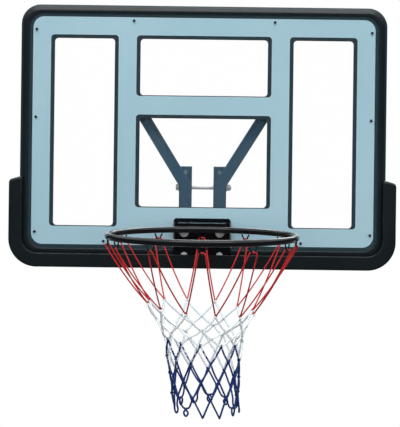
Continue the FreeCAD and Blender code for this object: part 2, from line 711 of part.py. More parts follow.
# Rim base: a plate on the board's face with a folded cheek at each side for the hinge pin
BASE_HALF = "(base_width / 2)"
plate = new_body("rim_base_plate")
pad(plate, "base_plate_sheet", BOARD_FRONT, "base_plate", [
    (draw_rounded, f"-{BASE_HALF}", BASE_HALF, f"{RING_Z} - base_drop", f"{RING_Z} + base_rise",
     "base_radius"),
])
pocket(plate, "base_bolt_holes", BOARD_FRONT, "base_plate", round_holes(RIM_BOLTS, BOLT_HOLE_RADIUS))
CHEEK_TIP = f"-({BASE_FRONT} + cheek_reach)"
CHEEK_ROOT = f"-({BASE_FRONT})"
cheek_outline = [
    (CHEEK_ROOT, f"{RING_Z} + cheek_rise"),
    (CHEEK_ROOT, f"{RING_Z} - cheek_drop"),
    (CHEEK_TIP, f"{RING_Z} - cheek_drop"),
    (CHEEK_TIP, f"{PIN_Z} + ear_radius"),
]
cheeks = []
for name, start in (("left", f"-{BASE_HALF}"), ("right", f"{BASE_HALF} - cheek_thickness")):
    cheek = new_body(f"{name}_cheek")
    pad(cheek, f"{name}_cheek_plate", start, "cheek_thickness", [(draw_polygon, cheek_outline)], "YZ_Plane")
    cheeks.append(cheek)
base_pin_hole = rod("base_pin_hole", PIN_HOLE_RADIUS, "base_width", f"-{BASE_HALF}", PIN_DEPTH, PIN_Z,
                    TO_RIGHT)
PARTS.append(cut("rim_base", join("rim_base_blank", [plate] + cheeks), [base_pin_hole]))

# Hinge pin through both cheeks, with a push-on cap at each end
PIN_END = f"({BASE_HALF} + clip_thickness)"
PARTS.append(rod("hinge_pin", "pin_diameter / 2", f"2 * {PIN_END}", f"-{PIN_END}", PIN_DEPTH, PIN_Z,
                 TO_RIGHT))
clip_places = (("left_clip", f"-{PIN_END}"), ("right_clip", BASE_HALF))
PARTS.append(group("hinge_clips", [
    washer(name, "clip_diameter", PIN_HOLE_RADIUS, "clip_thickness", start, PIN_DEPTH, PIN_Z, TO_RIGHT)
    for name, start in clip_places
]))

# Carrier: a folded box that tips on the pin, with a saddle at its front for the ring
CARRIER_HALF = f"({BASE_HALF} - cheek_thickness - carrier_side_gap)"
CARRIER_TOP = f"({RING_Z} + carrier_top)"
CARRIER_BACK = f"({BASE_FRONT} + carrier_rest_gap)"
CARRIER_WALL_FRONT = f"({CARRIER_BACK} + carrier_wall)"
CARRIER_FRONT = f"({RING_DEPTH} - {RING_RADIUS} - ring_rod_diameter / 2)"
CARRIER_WALL_FOOT = f"({PIN_Z} + carrier_wall_rise)"
CARRIER_FOOT = f"({RING_Z} - carrier_foot)"
HORN_HALF = "(ring_rod_diameter / 4)"
side_outline = [
    (f"-{CARRIER_BACK}", CARRIER_TOP),
    (f"-{CARRIER_BACK}", CARRIER_WALL_FOOT),
    (f"-({PIN_DEPTH} - ear_radius + carrier_rest_gap)", PIN_Z),
    (f"-({PIN_DEPTH} + ear_radius)", PIN_Z),
    (f"-{CARRIER_FRONT}", CARRIER_FOOT),
    (f"-({CARRIER_FRONT} + carrier_horn)", f"{RING_Z} - {HORN_HALF}"),
    (f"-({CARRIER_FRONT} + carrier_horn)", f"{RING_Z} + {HORN_HALF}"),
    (f"-{CARRIER_FRONT}", f"{RING_Z} + carrier_foot"),
    (f"-{CARRIER_FRONT}", CARRIER_TOP),
]
carrier_solids = [
    block("carrier_wall", f"-{CARRIER_HALF}", CARRIER_HALF, CARRIER_BACK, CARRIER_WALL_FRONT,
          CARRIER_WALL_FOOT, CARRIER_TOP),
    block("carrier_roof", f"-{CARRIER_HALF}", CARRIER_HALF, CARRIER_BACK, CARRIER_FRONT,
          f"{CARRIER_TOP} - carrier_plate", CARRIER_TOP),
    block("carrier_front", f"-{CARRIER_HALF}", CARRIER_HALF, f"{CARRIER_FRONT} - carrier_plate",
          CARRIER_FRONT, CARRIER_FOOT, CARRIER_TOP),
]
for name, start in (("left", f"-{CARRIER_HALF}"), ("right", f"{CARRIER_HALF} - carrier_plate")):
    flank = new_body(f"{name}_carrier_side")
    pad(flank, f"{name}_carrier_side_plate", start, "carrier_plate", [(draw_polygon, side_outline)],
        "YZ_Plane")
    ear = rod(f"{name}_carrier_ear", "ear_radius", "carrier_plate", start, PIN_DEPTH, PIN_Z, TO_RIGHT)
    carrier_solids += [flank, ear]
carrier_holes = [rod("carrier_pin_hole", PIN_HOLE_RADIUS, "base_width", f"-{BASE_HALF}", PIN_DEPTH,
                     PIN_Z, TO_RIGHT)]
for name, (across, up) in zip(SIDES, UPPER_BOLTS):
    carrier_holes.append(rod(f"{name}_carrier_slot", "shoulder_diameter / 2 + slot_clearance",
                             "carrier_wall", across, CARRIER_BACK, up))
saddle = doc.addObject("Part::Torus", "ring_saddle")
saddle.setExpression("Radius1", bound(RING_RADIUS))
saddle.setExpression("Radius2", bound("ring_rod_diameter / 2 + weld_gap"))
place_at(saddle, "0", RING_DEPTH, RING_Z)
carrier_holes.append(saddle)
PARTS.append(cut("rim_carrier", join("rim_carrier_blank", carrier_solids), carrier_holes))

# Ring of round steel rod
ring = doc.addObject("Part::Torus", "rim_ring")
ring.Label = "rim_ring"
ring.setExpression("Radius1", bound(RING_RADIUS))
ring.setExpression("Radius2", bound("ring_rod_diameter / 2"))
PARTS.append(place_at(ring, "0", RING_DEPTH, RING_Z))

# Shoulder bolts that carry the springs and hold the rim's upper half, and the two plain lower bolts
NUT_SEAT = "(bar_depth - bar_wall)"
NUT_BACK = f"({NUT_SEAT} - rim_washer_thickness - rim_nut)"
BOLT_TAIL = f"({NUT_BACK} - rim_bolt_spare)"
SHOULDER_END = f"({BASE_FRONT} + shoulder_length)"
SPRING_NUT_BACK = f"({SHOULDER_END} + spring_washer_thickness)"
SPRING_BOLT_TIP = f"({SPRING_NUT_BACK} + rim_nut + rim_bolt_spare)"
THREAD_RADIUS = "(rim_bolt_diameter / 2)"
spring_bolts = []
spring_washers = []
spring_nuts = []
for name, (across, up) in zip(SIDES, UPPER_BOLTS):
    thread = rod(f"{name}_spring_bolt_thread", THREAD_RADIUS, f"{SPRING_BOLT_TIP} - {BOLT_TAIL}", across,
                 BOLT_TAIL, up)
    shoulder = rod(f"{name}_spring_bolt_shoulder", "shoulder_diameter / 2", "shoulder_length", across,
                   BASE_FRONT, up)
    spring_bolts.append(join(f"{name}_spring_bolt", [thread, shoulder]))
    spring_washers.append(washer(f"{name}_spring_washer", "spring_washer_diameter",
                                 f"({THREAD_RADIUS} + screw_clearance)", "spring_washer_thickness", across,
                                 SHOULDER_END, up))
    spring_nuts.append(nut(f"{name}_spring_nut", "rim_bolt_flats", THREAD_RADIUS, "rim_nut", across,
                           SPRING_NUT_BACK, up))
PARTS.append(group("spring_bolts", spring_bolts))
PARTS.append(group("spring_washers", spring_washers))
PARTS.append(group("spring_nuts", spring_nuts))

lower_bolts = []
for name, (across, up) in zip(SIDES, LOWER_BOLTS):
    shank = rod(f"{name}_lower_bolt_shank", THREAD_RADIUS, f"{BASE_FRONT} - {BOLT_TAIL}", across, BOLT_TAIL,
                up)
    head = hexagon(f"{name}_lower_bolt_head", "rim_bolt_flats", "rim_bolt_head", across, BASE_FRONT, up)
    lower_bolts.append(join(f"{name}_lower_bolt", [shank, head]))
PARTS.append(group("rim_lower_bolts", lower_bolts))

rim_washers = []
rim_nuts = []
for index, (across, up) in enumerate(RIM_BOLTS, start=1):
    rim_washers.append(washer(f"rim_washer_{index}", "rim_washer_diameter", BOLT_HOLE_RADIUS,
                              "rim_washer_thickness", across, f"{NUT_SEAT} - rim_washer_thickness", up))
    rim_nuts.append(nut(f"rim_nut_{index}", "rim_bolt_flats", THREAD_RADIUS, "rim_nut", across, NUT_BACK,
                        up))
PARTS.append(group("rim_washers", rim_washers))
PARTS.append(group("rim_nuts", rim_nuts))


# Wire bent along a path: straight runs and tangent arcs, or the paired arcs of a coil
def arc_from(start, end, heading):
    """The arc that leaves start along heading and ends at end."""
    chord = end - start
    along = Vector(chord).normalize()
    bulge = heading - along * heading.dot(along)
    turn = math.acos(max(-1.0, min(1.0, heading.dot(along))))
    top = (start + end) * 0.5 + bulge.normalize() * (chord.Length / 2 * math.tan(turn / 2))
    return Part.Arc(start, top, end).toShape()


def tube(edges, start, heading, radius):
    """A round wire of one radius along joined edges."""
    section = Part.Wire([Part.makeCircle(radius, start, heading)])
    shell = Part.BRepOffsetAPI.MakePipeShell(Part.Wire(edges))
    shell.add(section)
    shell.build()
    shell.makeSolid()
    return shell.shape()


def paired_arcs(start, end, heading, leaving):
    """Two arcs, tangent to each other, that join two points with given headings."""
    span = end - start
    both = heading + leaving
    bend = 2 * (1 - heading.dot(leaving))
    reach = span.dot(both)
    handle = (-reach + math.sqrt(reach ** 2 + bend * span.dot(span))) / bend
    middle = (start + end + (heading - leaving) * handle) * 0.5
    through = (end - start - both * handle).normalize()
    return [arc_from(start, middle, heading), arc_from(middle, end, through)]


# Springs: round wire wound about the shoulder bolts, between the carrier's wall and the washers
QUARTERS = 4
SPRING_START = f"({CARRIER_WALL_FRONT} + spring_end_gap + spring_wire / 2)"
SPRING_END = f"({SHOULDER_END} - spring_end_gap - spring_wire / 2)"
coil_radius = value("spring_mean_diameter / 2")
wire_radius = value("spring_wire / 2")
spring_turns = int(value("spring_turns"))
spring_pitch = (value(SPRING_END) - value(SPRING_START)) / spring_turns
print("least gap between the spring's turns", round(spring_pitch - 2 * wire_radius, 3))


def coil_point(centre, quarter):
    angle = quarter * math.pi / 2
    around_axis = Vector(math.cos(angle), 0, math.sin(angle)) * coil_radius
    return centre + around_axis + Vector(0, -spring_pitch * quarter / QUARTERS, 0)


def coil_heading(quarter):
    angle = quarter * math.pi / 2
    climb = -spring_pitch / (2 * math.pi)
    return Vector(-math.sin(angle) * coil_radius, climb, math.cos(angle) * coil_radius).normalize()


springs = []
for across, up in UPPER_BOLTS:
    centre = vector(across, SPRING_START, up)
    edges = []
    for quarter in range(spring_turns * QUARTERS):
        edges += paired_arcs(coil_point(centre, quarter), coil_point(centre, quarter + 1),
                             coil_heading(quarter), coil_heading(quarter + 1))
    springs.append(tube(edges, coil_point(centre, 0), coil_heading(0), wire_radius))
PARTS.append(shaped("rim_springs", Part.makeCompound(springs)))

# Net hooks: a bent wire welded under the ring at each of the net's loops
hook_count = int(value("hook_count"))
hook_wire_radius = value("hook_wire / 2")
hook_half = value("hook_half_width")
hook_drop = value("hook_drop")
bend_radius = value("hook_bend_radius")
hook_flare = math.atan2(hook_half, hook_drop)
hook_end_slant = hook_wire_radius * math.sin(hook_flare)
hook_start = value(RING_Z) - value("ring_rod_diameter / 2 + weld_gap") - hook_end_slant
hook_bottom = hook_start - hook_drop + bend_radius * (1 / math.sin(hook_flare) - 1)
ring_centre = vector("0", RING_DEPTH, "0")
ring_radius = value(RING_RADIUS)


def around_ring(radius, height, steps):
    """A point about the ring's axis; step 0 faces the player and each step is one hook."""
    angle = 2 * math.pi * steps / hook_count - math.pi / 2
    return ring_centre + Vector(radius * math.cos(angle), radius * math.sin(angle), height)


def along_ring(steps):
    angle = 2 * math.pi * steps / hook_count
    return Vector(math.cos(angle), math.sin(angle), 0)


def bent_hook(step):
    foot = around_ring(ring_radius, hook_start, step)
    along = along_ring(step)
    left = foot - along * hook_half
    right = foot + along * hook_half
    point = foot - Vector(0, 0, hook_drop)
    tangent_length = bend_radius / math.tan(hook_flare)
    going_down = (point - left).normalize()
    going_up = (right - point).normalize()
    bend_start = point - going_down * tangent_length
    bend_end = point + going_up * tangent_length
    edges = [
        Part.LineSegment(left, bend_start).toShape(),
        arc_from(bend_start, bend_end, going_down),
        Part.LineSegment(bend_end, right).toShape(),
    ]
    return tube(edges, left, going_down, hook_wire_radius)


PARTS.append(shaped("net_hooks", Part.makeCompound([bent_hook(step) for step in range(hook_count)])))

# Net: cords knotted in diamonds. Each row gives how far down the net its knots are, their share of the
# ring's radius and how far they stand between the hooks; the cord is dyed in three bands of rows.
NET_ROWS = [
    (0.413, 0.571, 0.5),
    (0.497, 0.481, 0.0),
    (0.545, 0.438, 0.5),
    (0.589, 0.408, 0.0),
    (0.689, 0.386, 0.5),
    (0.796, 0.369, 0.0),
    (0.896, 0.356, 0.5),
    (1.000, 0.343, 0.0),
]
CORD_SIDES = 8
WHITE_TOP = 0
BLUE_TOP = 3
BLUE_END = len(NET_ROWS) - 1
cord_radius = value("cord_diameter / 2")
knot_radius = value("knot_diameter / 2")
cut_radius = knot_radius + value("knot_gap")
loop_radius = value("loop_radius")
ring_height = value(RING_Z)
net_length = value("net_length")


def knot(row, index):
    drop, reach, lead = NET_ROWS[row]
    return around_ring(reach * ring_radius, ring_height - drop * net_length, index + lead)


def faceted_rod(start, run, radius):
    """A rod with flat sides, from a point along a run."""
    across = run.cross(Vector(0, 0, 1)).normalize()
    above = across.cross(run).normalize()
    corners = []
    for side in range(CORD_SIDES + 1):
        angle = 2 * math.pi * (side + 0.5) / CORD_SIDES
        corners.append(start + (across * math.cos(angle) + above * math.sin(angle)) * radius)
    return Part.Face(Part.makePolygon(corners)).extrude(run)


def strand(start, end):
    return faceted_rod(start, end - start, cord_radius)


def knot_at(middle, step, radius):
    """A stubby knot that points out from the ring's axis."""
    outward = (around_ring(1, 0, step) - ring_centre) * radius
    return faceted_rod(middle - outward, outward * 2, radius)


def hanging_loop(index):
    """The loop of cord that goes round one hook."""
    middle = around_ring(ring_radius, hook_bottom, index)
    return Part.makeTorus(loop_radius, cord_radius, middle, along_ring(index))


def loop_foot(index):
    return around_ring(ring_radius, hook_bottom - loop_radius - cord_radius, index)


def knots_at(row, radius):
    lead = NET_ROWS[row][2]
    return [knot_at(knot(row, index), index + lead, radius) for index in range(hook_count)]


def diamond_rows(first, last):
    """All strands from one row of knots down to another."""
    strands = []
    for row in range(first, last):
        lean = 1 if NET_ROWS[row][2] > 0 else 0
        for index in range(hook_count):
            strands.append(strand(knot(row, index), knot(row + 1, index + lean)))
            strands.append(strand(knot(row, index), knot(row + 1, index + lean - 1)))
    return strands


red_solids = []
for index in range(hook_count):
    red_solids.append(hanging_loop(index))
    red_solids.append(knot_at(loop_foot(index), index, knot_radius))
    red_solids.append(strand(loop_foot(index), knot(WHITE_TOP, index)))
    red_solids.append(strand(loop_foot(index), knot(WHITE_TOP, index - 1)))
white_solids = diamond_rows(WHITE_TOP, BLUE_TOP)
for row in range(WHITE_TOP, BLUE_TOP):
    white_solids += knots_at(row, knot_radius)
blue_solids = diamond_rows(BLUE_TOP, BLUE_END)
for row in range(BLUE_TOP, BLUE_END + 1):
    blue_solids += knots_at(row, knot_radius)

red_net = red_solids[0].multiFuse(red_solids[1:])
red_net = red_net.cut(Part.makeCompound(knots_at(WHITE_TOP, cut_radius)))
white_net = white_solids[0].multiFuse(white_solids[1:])
white_net = white_net.cut(Part.makeCompound(knots_at(BLUE_TOP, cut_radius)))
blue_net = blue_solids[0].multiFuse(blue_solids[1:])
PARTS.append(shaped("net_red", red_net))
PARTS.append(shaped("net_white", white_net))
PARTS.append(shaped("net_blue", blue_net))

# Every object has to be sound before any piece is written
doc.recompute()
for item in doc.Objects:
    if "Invalid" in item.State or "Error" in item.State:
        raise RuntimeError(f"{item.Label} failed: {item.State}")
for part in PARTS:
    if part.Shape.isNull() or not part.Shape.isValid():
        raise RuntimeError(f"{part.Label} has no valid shape")
for part in PARTS:
    part.Shape.exportStep(f"parts/{part.Label}.step")
    print(part.Label, len(part.Shape.Solids), round(part.Shape.Volume / 1000, 2), "cm3")
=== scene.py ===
import json
import math
import random
import bmesh
import bpy
from mathutils import Matrix, Vector


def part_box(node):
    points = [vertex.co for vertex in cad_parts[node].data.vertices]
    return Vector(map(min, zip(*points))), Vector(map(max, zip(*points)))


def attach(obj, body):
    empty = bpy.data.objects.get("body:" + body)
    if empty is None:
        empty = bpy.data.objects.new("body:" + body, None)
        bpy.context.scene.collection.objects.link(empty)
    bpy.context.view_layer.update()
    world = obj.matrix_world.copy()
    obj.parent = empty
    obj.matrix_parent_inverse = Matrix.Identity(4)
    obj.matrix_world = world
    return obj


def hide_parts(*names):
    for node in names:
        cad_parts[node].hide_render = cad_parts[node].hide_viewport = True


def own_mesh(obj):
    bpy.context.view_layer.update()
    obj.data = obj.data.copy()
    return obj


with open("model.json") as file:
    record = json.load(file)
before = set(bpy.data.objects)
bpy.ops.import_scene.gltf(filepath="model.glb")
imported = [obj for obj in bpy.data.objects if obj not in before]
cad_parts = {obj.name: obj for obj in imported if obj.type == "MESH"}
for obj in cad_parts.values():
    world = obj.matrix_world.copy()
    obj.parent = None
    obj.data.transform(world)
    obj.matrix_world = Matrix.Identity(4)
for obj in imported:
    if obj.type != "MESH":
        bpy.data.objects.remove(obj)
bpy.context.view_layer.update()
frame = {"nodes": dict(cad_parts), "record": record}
node = frame["nodes"]

# Mounting bars: two square steel tubes, powder painted slate grey. The board hangs on them: bolts go through
# their rear faces into a wall bracket, and large holes at their backs let a socket reach the rim's nuts.
SLATE = (0.021, 0.061, 0.102, 1.0)
SLATE_PATCH = (0.029, 0.068, 0.106, 1.0)
# Edge colour: paler slate along every edge, partly scuffs and partly a painted highlight where light catches
# the rounded corners.
SLATE_WEAR_AND_HIGHLIGHT = (0.24, 0.32, 0.37, 1.0)
MOUNT_BARS = ("left_mount_bar", "right_mount_bar")
BAR_CORNER = 0.0022
BAR_CORNER_CUTS = 3
PLAIN_GREY = (0.5, 0.5, 0.5, 1.0)
DUST = (0.42, 0.41, 0.39, 1.0)
PATCH_SPAN = (0.38, 0.66)
PATCH_ROUGHNESS_SHARE = 0.7
EDGE_BEND_SPAN = (0.995, 0.80)
EDGE_BREAKUP_SPAN = (0.35, 0.65)
DUST_PATCH_SCALE = 38.0
DUST_PATCH_SPAN = (0.3, 0.7, 0.35, 1.0)
DUST_LYING_SPAN = (0.45, 0.95)
SHARP_CORNER = math.radians(50)
SAME_POINT = 1e-6


def add_node(tree, kind, inputs=None, **settings):
    """A shader node with its settings, and its inputs either set or linked."""
    made = tree.nodes.new(kind)
    for name, setting in settings.items():
        setattr(made, name, setting)
    for name, feed in (inputs or {}).items():
        if isinstance(feed, bpy.types.NodeSocket):
            tree.links.new(feed, made.inputs[name])
        else:
            made.inputs[name].default_value = feed
    return made


def maths(tree, operation, first, second=0.0, clamp=False):
    made = add_node(tree, "ShaderNodeMath", {0: first, 1: second}, operation=operation, use_clamp=clamp)
    return made.outputs["Value"]


def mix_colours(tree, share, first, second):
    made = add_node(tree, "ShaderNodeMix", {0: share, 6: first, 7: second}, data_type="RGBA")
    return made.outputs[2]


def spread(tree, feed, low, high, start=0.0, end=1.0):
    """Stretch a value from one span to another, clamped at both ends."""
    inputs = {"Value": feed, "From Min": low, "From Max": high, "To Min": start, "To Max": end}
    return add_node(tree, "ShaderNodeMapRange", inputs).outputs["Result"]


def noise(tree, place, scale, detail=2.0):
    made = add_node(tree, "ShaderNodeTexNoise", {"Vector": place, "Scale": scale, "Detail": detail})
    return made.outputs["Fac"]


def object_place(tree):
    return add_node(tree, "ShaderNodeTexCoord").outputs["Object"]


def one_axis(tree, vector, axis):
    return add_node(tree, "ShaderNodeSeparateXYZ", {0: vector}).outputs[axis]


def shader_group(name, inputs, outputs):
    """An empty node group, with the sockets that its insides read and feed."""
    group = bpy.data.node_groups.new(name, "ShaderNodeTree")
    for label, kind, default in inputs:
        socket = group.interface.new_socket(label, in_out="INPUT", socket_type=f"NodeSocket{kind}")
        socket.default_value = default
    for label, kind in outputs:
        group.interface.new_socket(label, in_out="OUTPUT", socket_type=f"NodeSocket{kind}")
    feeds = group.nodes.new("NodeGroupInput").outputs
    results = group.nodes.new("NodeGroupOutput").inputs
    return group, feeds, results


def surface_grain_group():
    """Fine grain and slow patches of colour: powder paint, moulded plastic or plating."""
    group, feeds, results = shader_group("surface_grain", [
        ("Color", "Color", PLAIN_GREY),
        ("Patch Color", "Color", PLAIN_GREY),
        ("Patch Scale", "Float", 9.0),
        ("Grain Scale", "Float", 900.0),
        ("Smooth", "Float", 0.3),
        ("Rough", "Float", 0.5),
    ], [("Color", "Color"), ("Roughness", "Float"), ("Height", "Float")])
    place = object_place(group)
    patches = noise(group, place, feeds["Patch Scale"], detail=4.0)
    grain = noise(group, place, feeds["Grain Scale"], detail=3.0)
    patchy = spread(group, patches, *PATCH_SPAN)
    slow_part = maths(group, "MULTIPLY", patches, PATCH_ROUGHNESS_SHARE)
    fine_part = maths(group, "MULTIPLY", grain, 1 - PATCH_ROUGHNESS_SHARE)
    uneven = maths(group, "ADD", slow_part, fine_part)
    rough = spread(group, uneven, 0.0, 1.0, feeds["Smooth"], feeds["Rough"])
    group.links.new(mix_colours(group, patchy, feeds["Color"], feeds["Patch Color"]), results["Color"])
    group.links.new(rough, results["Roughness"])
    group.links.new(grain, results["Height"])
    return group


def edge_wear_and_highlight_group():
    """A second colour along a coat's edges, broken up by noise: scuffs, and on some finishes also a painted
    highlight. Also the normal of those edges when rounded.
    """
    group, feeds, results = shader_group("edge_wear_and_highlight", [
        ("Color", "Color", PLAIN_GREY),
        ("Edge Color", "Color", (0.8, 0.8, 0.8, 1.0)),
        ("Reach", "Float", 0.002),
        ("Amount", "Float", 0.5),
        ("Breakup Scale", "Float", 60.0),
    ], [("Color", "Color"), ("Normal", "Vector")])
    rounded = add_node(group, "ShaderNodeBevel", {"Radius": feeds["Reach"]}, samples=6).outputs["Normal"]
    facing = add_node(group, "ShaderNodeNewGeometry").outputs["Normal"]
    agree = add_node(group, "ShaderNodeVectorMath", {0: rounded, 1: facing}, operation="DOT_PRODUCT")
    bend = spread(group, agree.outputs["Value"], *EDGE_BEND_SPAN)
    specks = noise(group, object_place(group), feeds["Breakup Scale"], detail=5.0)
    broken = maths(group, "MULTIPLY", bend, spread(group, specks, *EDGE_BREAKUP_SPAN))
    mask = maths(group, "MULTIPLY", broken, feeds["Amount"], clamp=True)
    group.links.new(mix_colours(group, mask, feeds["Color"], feeds["Edge Color"]), results["Color"])
    group.links.new(rounded, results["Normal"])
    return group


def settled_dust_group():
    """Pale dust on whatever faces up, thicker in patches."""
    group, feeds, results = shader_group("settled_dust", [
        ("Color", "Color", PLAIN_GREY),
        ("Dust Color", "Color", DUST),
        ("Amount", "Float", 0.2),
    ], [("Color", "Color")])
    facing = add_node(group, "ShaderNodeNewGeometry").outputs["Normal"]
    level = spread(group, one_axis(group, facing, "Z"), *DUST_LYING_SPAN)
    patches = spread(group, noise(group, object_place(group), DUST_PATCH_SCALE, detail=4.0), *DUST_PATCH_SPAN)
    lying = maths(group, "MULTIPLY", level, patches)
    mask = maths(group, "MULTIPLY", lying, feeds["Amount"], clamp=True)
    group.links.new(mix_colours(group, mask, feeds["Color"], feeds["Dust Color"]), results["Color"])
    return group


SURFACE_GRAIN = surface_grain_group()
EDGE_WEAR_AND_HIGHLIGHT = edge_wear_and_highlight_group()
SETTLED_DUST = settled_dust_group()


def use_group(tree, group, inputs):
    """Put a shared effect into a material with its own values."""
    return add_node(tree, "ShaderNodeGroup", inputs, node_tree=group).outputs


def bare_material(name):
    """A material with one Principled shader, ready to be fed."""
    made = bpy.data.materials.new(name)
    made.use_nodes = True
    return made, made.node_tree, made.node_tree.nodes["Principled BSDF"]


def bumped(tree, height, distance, strength, facing=None):
    made = add_node(tree, "ShaderNodeBump", {"Height": height, "Distance": distance, "Strength": strength})
    if facing is not None:
        tree.links.new(facing, made.inputs["Normal"])
    return made.outputs["Normal"]


def edged_coat(name, colour, patch, edge_colour, smooth, rough, gloss, edge_amount, dust, corner=0.0016):
    """Powder paint, blacking or a rubber skin: orange peel, scuffed edges that on the slate also carry a
    painted highlight, and a little dust.
    """
    made, tree, shader = bare_material(name)
    grain = use_group(tree, SURFACE_GRAIN, {"Color": colour, "Patch Color": patch, "Patch Scale": 7.0,
                                            "Grain Scale": 650.0, "Smooth": smooth, "Rough": rough})
    edged = use_group(tree, EDGE_WEAR_AND_HIGHLIGHT, {"Color": grain["Color"], "Edge Color": edge_colour, "Reach": corner,
                                         "Amount": edge_amount})
    dusty = use_group(tree, SETTLED_DUST, {"Color": edged["Color"], "Amount": dust})
    peel = bumped(tree, grain["Height"], distance=0.0003, strength=0.25, facing=edged["Normal"])
    tree.links.new(dusty["Color"], shader.inputs["Base Color"])
    tree.links.new(grain["Roughness"], shader.inputs["Roughness"])
    tree.links.new(peel, shader.inputs["Normal"])
    shader.inputs["Specular IOR Level"].default_value = gloss
    return made


def dress(name, material):
    """Give a carried piece its finish."""
    piece = node[name]
    piece.data.materials.clear()
    piece.data.materials.append(material)


def soften(name, width, cuts=2):
    """Break the sharp edges of a carried piece, as a press, a mould or a file leaves them."""
    piece = node[name]
    piece.modifiers.new("joined_corners", "WELD").merge_threshold = SAME_POINT
    bevel = piece.modifiers.new("soft_edges", "BEVEL")
    bevel.width = width
    bevel.segments = cuts
    bevel.limit_method = "ANGLE"
    bevel.angle_limit = SHARP_CORNER
    bevel.harden_normals = True


slate_paint = edged_coat("slate_paint", SLATE, SLATE_PATCH, SLATE_WEAR_AND_HIGHLIGHT, smooth=0.30, rough=0.48, gloss=0.35,
                        edge_amount=1.0, dust=0.06, corner=0.0032)
for bar in MOUNT_BARS:
    dress(bar, slate_paint)
    soften(bar, BAR_CORNER, BAR_CORNER_CUTS)

# Struts: two rectangular steel tubes in the same slate paint, bent once and mitred. Their feet lie between
# the bars and the frame's rim block, and their upper ends are screwed to the frame's posts.
for strut in ("left_strut", "right_strut"):
    dress(strut, slate_paint)
    soften(strut, BAR_CORNER, BAR_CORNER_CUTS)

# Tie bolt: a long zinc-plated hex bolt through both bars, with a washer under its head and its nut. The
# head is forged with a rounded chamfer, and only the nut's end of the shank has a rolled thread.
ZINC = (0.62, 0.64, 0.66, 1.0)
ZINC_PATCH = (0.50, 0.52, 0.55, 1.0)
ZINC_WORN = (0.78, 0.79, 0.80, 1.0)
AROUND = 48
HEX_FACE_SHARE = 0.97
HEX_CHAMFER = math.tan(math.radians(28))
HARD_EDGE = 35
THREAD_STEPS = 6
THREAD_DEPTH = 0.45
BOLT_POINT = 0.001
NUT_COUNTERSINK = 0.0006
NUT_MOUTH = 1.06
WASHER_EDGE = 0.0003
TIE_RADIUS = 0.006
TIE_PITCH = 0.00175
TIE_THREAD = 0.040
TIE_POINT_SHARE = 0.85
ALONG_X = Matrix.Rotation(math.pi / 2, 4, "Y")


def turned_ring(radius, height):
    """One ring of points about Z; radius and height may vary with the angle."""
    points = []
    for step in range(AROUND):
        angle = 2 * math.pi * step / AROUND
        reach = radius(angle) if callable(radius) else radius
        rise = height(angle) if callable(height) else height
        points.append(Vector((reach * math.cos(angle), reach * math.sin(angle), rise)))
    return points


def hex_reach(flats):
    """How far a hexagon reaches at each angle."""
    sixth = math.pi / 3
    return lambda angle: flats / 2 / math.cos((angle + sixth / 2) % sixth - sixth / 2)


def hex_block(flats, low, high, low_chamfer=False, high_chamfer=False):
    """The rings of a hexagon whose corners are cut back to a cone at either end."""
    reach = hex_reach(flats)
    face = flats / 2 * HEX_FACE_SHARE
    rings = []
    if low_chamfer:
        rings.append(turned_ring(face, low))
        rings.append(turned_ring(reach, lambda angle: low + (reach(angle) - face) * HEX_CHAMFER))
    else:
        rings.append(turned_ring(reach, low))
    if high_chamfer:
        rings.append(turned_ring(reach, lambda angle: high - (reach(angle) - face) * HEX_CHAMFER))
        rings.append(turned_ring(face, high))
    else:
        rings.append(turned_ring(reach, high))
    return rings


def thread_reach(radius, pitch, height, fade):
    """How far a thread reaches at each angle, at one height."""
    def reach(angle):
        turn = (height / pitch - angle / (2 * math.pi)) % 1.0
        return radius - THREAD_DEPTH * pitch * fade * abs(2 * turn - 1)
    return reach


def thread(radius, pitch, low, high):
    """The rings of a rolled thread, run out at both ends."""
    count = max(2, int((high - low) / pitch * THREAD_STEPS))
    rings = []
    for index in range(count + 1):
        height = low + (high - low) * index / count
        fade = min(1.0, (height - low) / pitch, (high - height) / pitch)
        rings.append(turned_ring(thread_reach(radius, pitch, height, fade), height))
    return rings


def nut_rings(flats, bore, height):
    """A hex nut with both faces chamfered and its bore left open."""
    rings = hex_block(flats, 0.0, height, low_chamfer=True, high_chamfer=True)
    rings.append(turned_ring(bore * NUT_MOUTH, height))
    rings.append(turned_ring(bore, height - NUT_COUNTERSINK))
    rings.append(turned_ring(bore, NUT_COUNTERSINK))
    rings.append(turned_ring(bore * NUT_MOUTH, 0.0))
    return rings


def turned_mesh(rings, places, close=False):
    """Skin a row of rings at each place and cap its ends, or join its last ring to its first."""
    mesh = bmesh.new()
    for place in places:
        rows = [[mesh.verts.new(place @ point) for point in ring] for ring in rings]
        pairs = list(zip(rows, rows[1:]))
        if close:
            pairs.append((rows[-1], rows[0]))
        for below, above in pairs:
            for step in range(AROUND):
                beside = (step + 1) % AROUND
                mesh.faces.new((below[step], below[beside], above[beside], above[step]))
        if not close:
            mesh.faces.new(list(reversed(rows[0])))
            mesh.faces.new(rows[-1])
    return mesh


def new_piece(name, mesh, material, sharp_angle=None):
    """Turn finished mesh code into an object in the scene."""
    bmesh.ops.recalc_face_normals(mesh, faces=mesh.faces)
    data = bpy.data.meshes.new(name)
    mesh.to_mesh(data)
    mesh.free()
    data.shade_smooth()
    if sharp_angle is not None:
        data.set_sharp_from_angle(angle=math.radians(sharp_angle))
    data.materials.append(material)
    piece = bpy.data.objects.new(name, data)
    bpy.context.scene.collection.objects.link(piece)
    return piece


def stand_for(piece, body, slot, *nodes):
    """A detailed piece takes the place of carried ones, on the same body; they are hidden. Its finish slot is
    not used.
    """
    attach(piece, body)
    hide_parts(*nodes)


